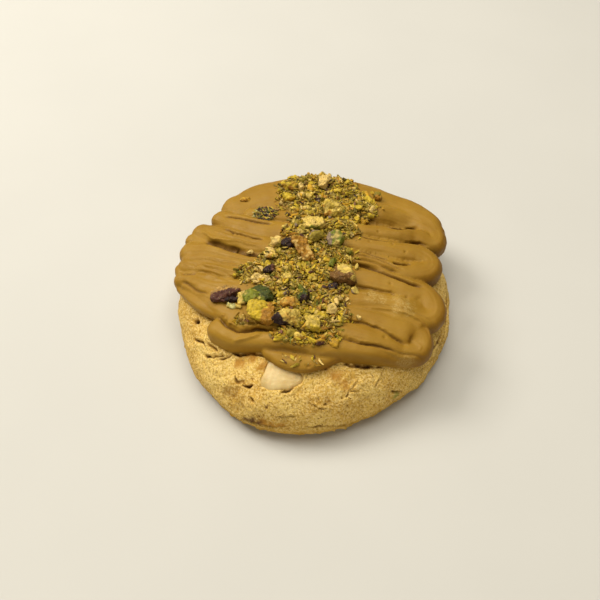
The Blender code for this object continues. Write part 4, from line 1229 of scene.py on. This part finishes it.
def nut_cover(places):
    """How thickly the chopped nuts lie, from 0 to 1, at rows of places."""
    cover = np.zeros(len(places))
    ragged = layered(places * (1.0, 1.0, 0.0), COVER_NOISE, 50)
    for x, y, half_x, half_y, weight in NUT_PATCHES:
        out = np.hypot((places[:, 0] - x) / half_x, (places[:, 1] - y) / half_y) + ragged
        inside = 1.0 - smooth_step(*COVER_EDGE, out)
        cover = np.maximum(cover, min(1.0, COVER_GAIN * weight) * inside)
    return cover


def make_cream():
    """The piped cream with its drag marks, creases, pits and the dust of the nuts."""
    (rough, _, faces), paths = merged_cream()
    verts, normals = softened(rough, faces, CREAM_SOFTEN)
    broad, broad_normals = softened(rough, faces, VALLEY_REACH)
    valley = np.clip(((broad - verts) * normals).sum(axis=1), 0.0, VALLEY_LIMIT)
    across, along, number = stroke_coordinates(verts, paths)
    streaks = drag_streaks(verts, across, along, number)
    slopes, marks = nozzle_relief(verts)
    dust = nut_cover(verts)
    grain, _ = cell_noise(verts, DUST_GRAIN, 4)
    grit = dust * (DUST_LEVEL - DUST_HEIGHT * grain / DUST_GRAIN)
    rise = layered(verts, CREAM_NOISE, 60) + streaks + grit - VALLEY_SHARPEN * valley
    rise = rise * smooth_step(*RELIEF_SLOPE, normals[:, 2])
    rise += (marks + slopes) * smooth_step(*MARK_SLOPE, normals[:, 2])
    shaped = verts + normals * rise[:, None]
    attributes = {
        # the relief also carries the painted shade of the valleys
        "relief": streaks + marks + grit - VALLEY_SHADE * valley,
        "dust": dust,
        "stroke": np.c_[across, along / STREAK_LENGTH, STROKE_SHIFT * number] * MM,
        # painted shade on the sides turned away from the window
        "deep": PAINTED_SHADE_SHARE * smooth_step(*PAINTED_SHADE_RANGE, broad_normals @ PAINTED_SHADE_SIDE),
        # pale patches, partly scuffs and partly a painted highlight
        "scuff_and_highlight": stain_share(verts, CREAM_SCUFFS_AND_HIGHLIGHTS),
    }
    cream = make_object("piped_cream", shaped, faces, cream_material(), attributes)
    declare(cream, "frosting")
    return surface_tree(shaped, faces)


# ---------------------------------------------------------------- white chocolate

def lump_share(x, y):
    """How far out points (x, y) lie, as a share of the lump's outline."""
    outline = smooth_path(LUMP_OUTLINE + LUMP_OUTLINE[:2], LUMP_STEP) - LUMP_MIDDLE
    azimuth = np.arctan2(outline[:, 1], outline[:, 0])
    order = np.argsort(azimuth)
    towards = np.arctan2(y - LUMP_MIDDLE[1], x - LUMP_MIDDLE[0])
    reach = np.interp(towards, azimuth[order], np.hypot(*outline.T)[order], period=math.tau)
    return np.hypot(x - LUMP_MIDDLE[0], y - LUMP_MIDDLE[1]) / reach


def lump_shape():
    """The lump: a slab that follows the shoulder, rounded over at its edge."""
    side = np.array(LUMP_SIDE)
    places = np.linspace(0.0, len(side) - 1.0, LUMP_RINGS)
    shares, depths = [np.interp(places, np.arange(len(side)), column) for column in side.T]
    azimuths = np.linspace(-math.pi, math.pi, LUMP_SPOKES, endpoint=False)
    ahead_x, ahead_y = np.cos(azimuths), np.sin(azimuths)
    reach = 1.0 / lump_share(LUMP_MIDDLE[0] + ahead_x, LUMP_MIDDLE[1] + ahead_y)
    x = LUMP_MIDDLE[0] + np.outer(shares, reach * ahead_x)
    y = LUMP_MIDDLE[1] + np.outer(shares, reach * ahead_y)
    grid = np.stack([x, y, dough_top(x, y) + LUMP_PROUD - depths[:, None]], axis=2)
    grid[0] = grid[0].mean(axis=0)
    verts = grid.reshape(-1, 3)
    verts[:, 2] += layered(verts, LUMP_NOISE, 80)
    return verts, ring_faces(LUMP_RINGS, LUMP_SPOKES) + end_faces(LUMP_RINGS, LUMP_SPOKES)


def make_lump():
    """White chocolate, browned a little where it meets the dough."""
    verts, faces = lump_shape()
    share = lump_share(verts[:, 0], verts[:, 1]) + layered(verts, LUMP_EDGE_NOISE, 85)
    edge = {"edge": smooth_step(*LUMP_EDGE, share)}
    lump = make_object("white_chocolate_lump", verts, faces, chocolate_material(), edge)
    declare(lump, "white_chocolate")


# ---------------------------------------------------------------- pistachios

def hull_arrays(points):
    """Vertices and faces of the convex hull of some points."""
    bm = bmesh.new()
    for point in points:
        bm.verts.new(point)
    hull = bmesh.ops.convex_hull(bm, input=bm.verts)
    spare = {item for item in hull["geom_interior"] + hull["geom_unused"]
             if isinstance(item, bmesh.types.BMVert)}
    bmesh.ops.delete(bm, geom=list(spare), context="VERTS")
    bmesh.ops.recalc_face_normals(bm, faces=bm.faces)
    bm.verts.index_update()
    verts = np.array([vert.co for vert in bm.verts])
    faces = [tuple(vert.index for vert in face.verts) for face in bm.faces]
    bm.free()
    return verts, faces


def middle_of(verts):
    """Middle of the box round some vertices."""
    return (verts.max(axis=0) + verts.min(axis=0)) / 2.0


def random_direction(rng):
    """A unit vector that may point any way."""
    return Vector(rng.gauss(0.0, 1.0) for _ in range(3)).normalized()


def chopped_block(rng, points, cuts, roundness):
    """A nut from boxy to round, with flat cut faces, in a box of size 1."""
    surface = []
    for _ in range(points):
        direction = random_direction(rng)
        surface.append(Vector(0.5 * math.copysign(abs(c) ** roundness, c) for c in direction))
    for _ in range(cuts):
        normal = random_direction(rng)
        reach = rng.uniform(*CUT_REACH)
        for point in surface:
            beyond = point.dot(normal) - reach
            if beyond > 0.0:
                point -= beyond * normal
    verts, faces = hull_arrays(surface)
    return (verts - middle_of(verts)) / (verts.max(axis=0) - verts.min(axis=0)), faces


def weathered(verts, faces, voxel, ragged, salt):
    """A block's surface remeshed finely and roughened like a broken nut."""
    verts, normals, faces = remeshed(verts, faces, voxel)
    _, chip = cell_noise(verts, NUT_CHIPS[0], salt)
    grain, _ = cell_noise(verts, NUT_GRAINS[0], salt + 1)
    rise = NUT_CHIPS[1] * (chip - 0.6) + NUT_GRAINS[1] * (0.3 - grain)
    rise = ragged * (rise + NUT_BUMPS[1] * soft_noise(verts, NUT_BUMPS[0], salt + 2))
    return verts + normals * rise[:, None], faces


class Heap:
    """Pieces gathered into one mesh, each with its own colours."""

    def __init__(self):
        self.parts = []
        self.tints = []

    def add(self, verts, faces, tints):
        """Add a piece with one colour, or with one for each of its vertices."""
        self.parts.append((verts, faces))
        self.tints.append(np.broadcast_to(tints, (len(verts), 3)))

    def make(self, name, material, faceted):
        """Make one object of all the pieces."""
        tints = {"tint": np.vstack(self.tints)}
        heap = make_object(name, *joined(self.parts), material, tints, faceted)
        declare(heap, "frosting")


def rotated(verts, first, second):
    """The vertices turned by two rotations, each an angle and an axis; the second acts first."""
    turn = Matrix.Rotation(first[0], 3, first[1]) @ Matrix.Rotation(second[0], 3, second[1])
    return verts @ np.array(turn).T


def turned(verts, rng, tilt):
    """The vertices turned any way about Z and tilted a little."""
    return rotated(verts, (rng.uniform(-math.pi, math.pi), "Z"), (rng.uniform(-tilt, tilt), "X"))


def skin_share(verts, azimuth, share, salt):
    """Where the papery skin covers a piece: towards an azimuth, as far as its share goes."""
    if share <= 0.0:
        return np.zeros((len(verts), 1))
    angle = math.radians(azimuth)
    towards = np.array([math.cos(angle), math.sin(angle), SKIN_DROOP])
    centred = verts - middle_of(verts)
    facing = centred @ towards / (np.linalg.norm(centred, axis=1) * np.linalg.norm(towards))
    ragged = facing + layered(verts, SKIN_NOISE, salt)
    edge = 1.0 - 2.0 * share
    return smooth_step(edge - SKIN_EDGE, edge + SKIN_EDGE, ragged)[:, None]


def ground_under(tree, x, y, half_x, half_y):
    """Height that a piece rests at: halfway from the middle to the highest ground under it."""
    spots = [(x, y), (x - half_x, y), (x + half_x, y), (x, y - half_y), (x, y + half_y)]
    heights = [height_over(tree, *spot) or 0.0 for spot in spots]
    return 0.5 * (heights[0] + max(heights))


def nut_tints(verts, rng, flesh, skin, index):
    """Colours of a larger piece: mottled flesh with patches of a second tone, and its skin."""
    skin_colour, azimuth, share = skin
    covered = skin_share(verts, azimuth, share, 200 + index)
    mottle = layered(verts, MOTTLE_NOISE, 300 + index, 1.0)[:, None]
    second = np.array(NUT_COLOURS[rng.choice(SECOND_COLOURS)])
    patch = smooth_step(*SECOND_EDGE, layered(verts, SECOND_NOISE, 350 + index))[:, None]
    patch = patch * (0.0 if flesh in SKINS else SECOND_SHARE)
    first = np.array(NUT_COLOURS[flesh])
    tints = mottle * (first + patch * (second - first))
    return tints + covered * (np.array(NUT_COLOURS[skin_colour]) - tints)


def large_nuts(heap, cream_tree):
    """The larger pieces, each in its place, with its own colour and skin."""
    rng = random.Random(NUT_SEED)
    for index, row in enumerate(LARGE_NUTS):
        x, y, length, width, height, roundness, flesh, *skin = row
        verts, faces = chopped_block(rng, *NUT_BLOCK, roundness)
        leans = [(rng.uniform(-NUT_LEAN, NUT_LEAN), axis) for axis in "ZX"]
        base = ground_under(cream_tree, x, y, 0.3 * length, 0.3 * width)
        verts = rotated(verts * (length, width, height), *leans) + (x, y, base + NUT_RAISE * height)
        ragged = NUT_RAGGED[0] - NUT_RAGGED[1] * roundness
        ragged *= SKIN_ROUGHNESS if flesh in SKINS else 1.0
        verts, faces = weathered(verts, faces, NUT_VOXEL, ragged, 100 + 3 * index)
        verts[:, 2] -= max(0.0, verts[:, 2].max() - NUT_LIMIT)
        heap.add(verts, faces, nut_tints(verts, rng, flesh, skin or NO_SKIN, index))


def place_in_oval(rng, x, y, half_x, half_y, spill=0.0):
    """A random place (x, y) in an oval, or strayed past its edge by some spill."""
    out = math.sqrt(rng.random())
    if spill:
        out *= 1.0 + spill * abs(rng.gauss(0.0, 1.0))
    angle = rng.uniform(0.0, math.tau)
    return x + half_x * out * math.cos(angle), y + half_y * out * math.sin(angle)


def place_in_patches(rng, least=0.0):
    """A random place (x, y) in the patches where the nuts lie at least this thickly."""
    patches = [patch for patch in NUT_PATCHES if patch[4] >= least]
    areas = [half_x * half_y * weight for _, _, half_x, half_y, weight in patches]
    return place_in_oval(rng, *rng.choices(patches, areas)[0][:4], PATCH_SPILL)


class Ground:
    """Heights of what has landed so far, on a grid, so that pieces lie on each other."""

    def __init__(self, carrier, pieces):
        left, right, near, far = HEAP_BOX
        self.x = np.arange(left, right, HEAP_CELL)
        self.y = np.arange(near, far, HEAP_CELL)
        self.bare = self.heights(carrier)
        self.height = np.maximum(self.bare, self.heights(pieces))

    def heights(self, tree):
        """Height of a surface over each cell, or 0 beside it."""
        return np.array([[height_over(tree, x, y) or 0.0 for y in self.y] for x in self.x])

    def window(self, x, y, radius):
        """The grid cells under a round piece, and their distance as a share of its radius."""
        i = slice(*np.searchsorted(self.x, (x - radius, x + radius)))
        j = slice(*np.searchsorted(self.y, (y - radius, y + radius)))
        share = np.hypot(self.x[i][:, None] - x, self.y[j][None, :] - y) / radius
        return (i, j), share

    def land(self, x, y, size, height):
        """Height of the middle of a piece that lands at (x, y), or None where it can't lie."""
        cells, share = self.window(x, y, 0.5 * size)
        under = share < 1.0
        if not under.any() or self.bare[cells][under].min() <= 0.0:
            return None
        middle = float(self.height[cells][under].mean()) + NUT_RAISE * height
        top = middle + 0.5 * height * np.sqrt(np.clip(1.0 - share ** 2, 0.0, 1.0))
        self.height[cells] = np.where(under, np.maximum(self.height[cells], top), self.height[cells])
        return middle


def drawn_colour(rng, shares):
    """Colour of a crumb, drawn by weight."""
    names, weights = zip(*shares)
    return np.array(NUT_COLOURS[rng.choices(names, weights)[0]])


def broken_template(rng, index):
    """A broken piece in a box of size 1, to be scaled and turned."""
    verts, faces = chopped_block(rng, *MIDDLE_NUT_BLOCK)
    salt = 400 + 3 * index
    verts, faces = weathered(verts * TEMPLATE_SIZE, faces, TEMPLATE_VOXEL, TEMPLATE_RAGGED, salt)
    return verts / TEMPLATE_SIZE, faces


def middle_nuts(heap, cream_tree):
    """Pieces of a few millimetres between the larger ones."""
    rng = random.Random(NUT_SEED + 1)
    templates = [broken_template(rng, index) for index in range(MIDDLE_TEMPLATES)]
    free_large, free_middle, free_new = CROWDING
    spots = [(row[0], row[1], free_large * max(row[2], row[3])) for row in LARGE_NUTS]
    low, high = MIDDLE_NUT_SIZE
    placed = 0
    for _ in range(MIDDLE_NUT_TRIES * MIDDLE_NUTS):
        x, y = place_in_patches(rng, THICK_PATCH)
        size = low + (high - low) * rng.random() ** MIDDLE_NUT_SKEW
        base = height_over(cream_tree, x, y)
        crowded = any(math.hypot(x - a, y - b) < free + free_new * size for a, b, free in spots)
        if placed == MIDDLE_NUTS or base is None or crowded:
            continue
        spots.append((x, y, free_middle * size))
        placed += 1
        verts, faces = rng.choice(templates)
        scale = size * np.array([rng.uniform(*stretch) for stretch in MIDDLE_NUT_STRETCH])
        shaped = turned(verts * scale, rng, MIDDLE_NUT_TILT)
        shaped = shaped + (x, y, base + MIDDLE_NUT_RAISE * scale[2])
        tint = drawn_colour(rng, CRUMB_COLOURS) * rng.uniform(*MIDDLE_NUT_TINT)
        covered = skin_share(shaped, rng.uniform(0, 360), rng.choice(SMALL_SKIN_SHARES), placed)
        skin = np.array(NUT_COLOURS[rng.choice(SMALL_SKINS)])
        heap.add(shaped, faces, tint + covered * (skin - tint))


def refused(rng, pile):
    """Whether a crumb bounces off a spot where the pile is too high already."""
    if pile > PILE_LIMIT and rng.random() < PILE_REFUSAL:
        return True
    return pile > NUT_TOP and rng.random() < NUT_REFUSAL


def crumbs(heap, ground):
    """Fine flakes that land one after another, the larger first."""
    rng = random.Random(NUT_SEED + 2)
    templates = [chopped_block(rng, *CRUMB_BLOCK) for _ in range(CRUMB_TEMPLATES)]
    low, high = CRUMB_SIZE
    sizes = [low + (high - low) * rng.random() ** CRUMB_SKEW for _ in range(CRUMBS)]
    for size in sorted(sizes, reverse=True):
        x, y = place_in_patches(rng)
        height = size * rng.uniform(*CRUMB_HEIGHT)
        cells, _ = ground.window(x, y, 0.5 * HEAP_CELL + 0.01)
        pile = ground.height[cells] - ground.bare[cells]
        if pile.size == 0 or refused(rng, pile.max()):
            continue
        middle = ground.land(x, y, 0.8 * size, height)
        if middle is None or middle + height > CRUMB_LIMIT:
            continue
        verts, faces = rng.choice(templates)
        scale = (size * rng.uniform(*CRUMB_LENGTH), size * rng.uniform(*CRUMB_WIDTH), height)
        shaped = turned(verts * scale, rng, CRUMB_TILT) + (x, y, middle)
        heap.add(shaped, faces, drawn_colour(rng, CRUMB_COLOURS) * rng.uniform(*CRUMB_TINT))


def shreds(heap, ground):
    """Slivers of green flesh and dark skin that lie in a small heap."""
    rng = random.Random(NUT_SEED + 3)
    template, faces = chopped_block(rng, *SHRED_BLOCK)
    for _ in range(SHREDS):
        x, y = place_in_oval(rng, *SHRED_PATCH)
        length = rng.uniform(*SHRED_LENGTH)
        width = rng.uniform(*SHRED_WIDTH)
        height = SHRED_THICKNESS * width
        middle = ground.land(x, y, 0.5 * length, height)
        if middle is None:
            continue
        turn = (math.radians(rng.uniform(*SHRED_LEAN)), "Z")
        lean = (rng.uniform(-SHRED_TILT, SHRED_TILT), "Y")
        verts = rotated(template * (length, width, height), turn, lean) + (x, y, middle)
        heap.add(verts, faces, drawn_colour(rng, SHRED_COLOURS) * rng.uniform(*SHRED_TINT))


def make_nuts(cream_tree):
    """The chopped pistachios: pieces in one mesh, and shreds and crumbs in another."""
    pieces = Heap()
    large_nuts(pieces, cream_tree)
    middle_nuts(pieces, cream_tree)
    material = nut_material("pistachio", vary=0.36, freckles=0.30, grits=0.75)
    pieces.make("pistachio_pieces", material, faceted=False)
    loose = Heap()
    ground = Ground(cream_tree, surface_tree(*joined(pieces.parts)))
    shreds(loose, ground)
    crumbs(loose, ground)
    material = nut_material("pistachio_crumb", vary=0.25, freckles=0.0, grits=0.0)
    loose.make("pistachio_crumbs", material, faceted=True)


# ---------------------------------------------------------------- stage

def make_floor():
    """A plain pale floor."""
    half = FLOOR_HALF
    corners = [(-half, -half, 0.0), (half, -half, 0.0), (half, half, 0.0), (-half, half, 0.0)]
    floor = make_object("floor", corners, [(0, 1, 2, 3)], floor_material())


def make_lights():
    """A soft window on the left, behind, a bright ceiling and a weak fill from the front."""
    for name, (place, size, power, colour) in LIGHTS.items():
        light = bpy.data.lights.new(name, "AREA")
        light.size = size * MM
        light.energy = power
        light.color = colour
        lamp = bpy.data.objects.new(name, light)
        lamp.location = Vector(place) * MM
        lamp.rotation_euler = (-Vector(place)).to_track_quat("-Z", "Y").to_euler()
        bpy.context.scene.collection.objects.link(lamp)
    world = bpy.data.worlds.new("soft_room")
    world.use_nodes = True
    sky = world.node_tree.nodes["Background"]
    sky.inputs["Color"].default_value = ROOM_COLOUR
    sky.inputs["Strength"].default_value = ROOM_STRENGTH
    bpy.context.scene.world = world
    bpy.context.scene.view_settings.view_transform = "Standard"


def make_camera():
    """The photograph's camera: 53 degrees above the table, looking along +Y."""
    data = bpy.data.cameras.new("camera")
    data.lens = CAMERA_LENS
    data.sensor_width = CAMERA_SENSOR
    data.clip_start, data.clip_end = [distance * MM for distance in CAMERA_CLIP]
    camera = bpy.data.objects.new("camera", data)
    camera.location = Vector(CAMERA_PLACE) * MM
    camera.rotation_euler = (CAMERA_PITCH, 0.0, 0.0)
    bpy.context.scene.collection.objects.link(camera)
    bpy.context.scene.camera = camera


make_camera()
make_lights()
make_floor()
make_dough()
make_lump()
make_nuts(make_cream())
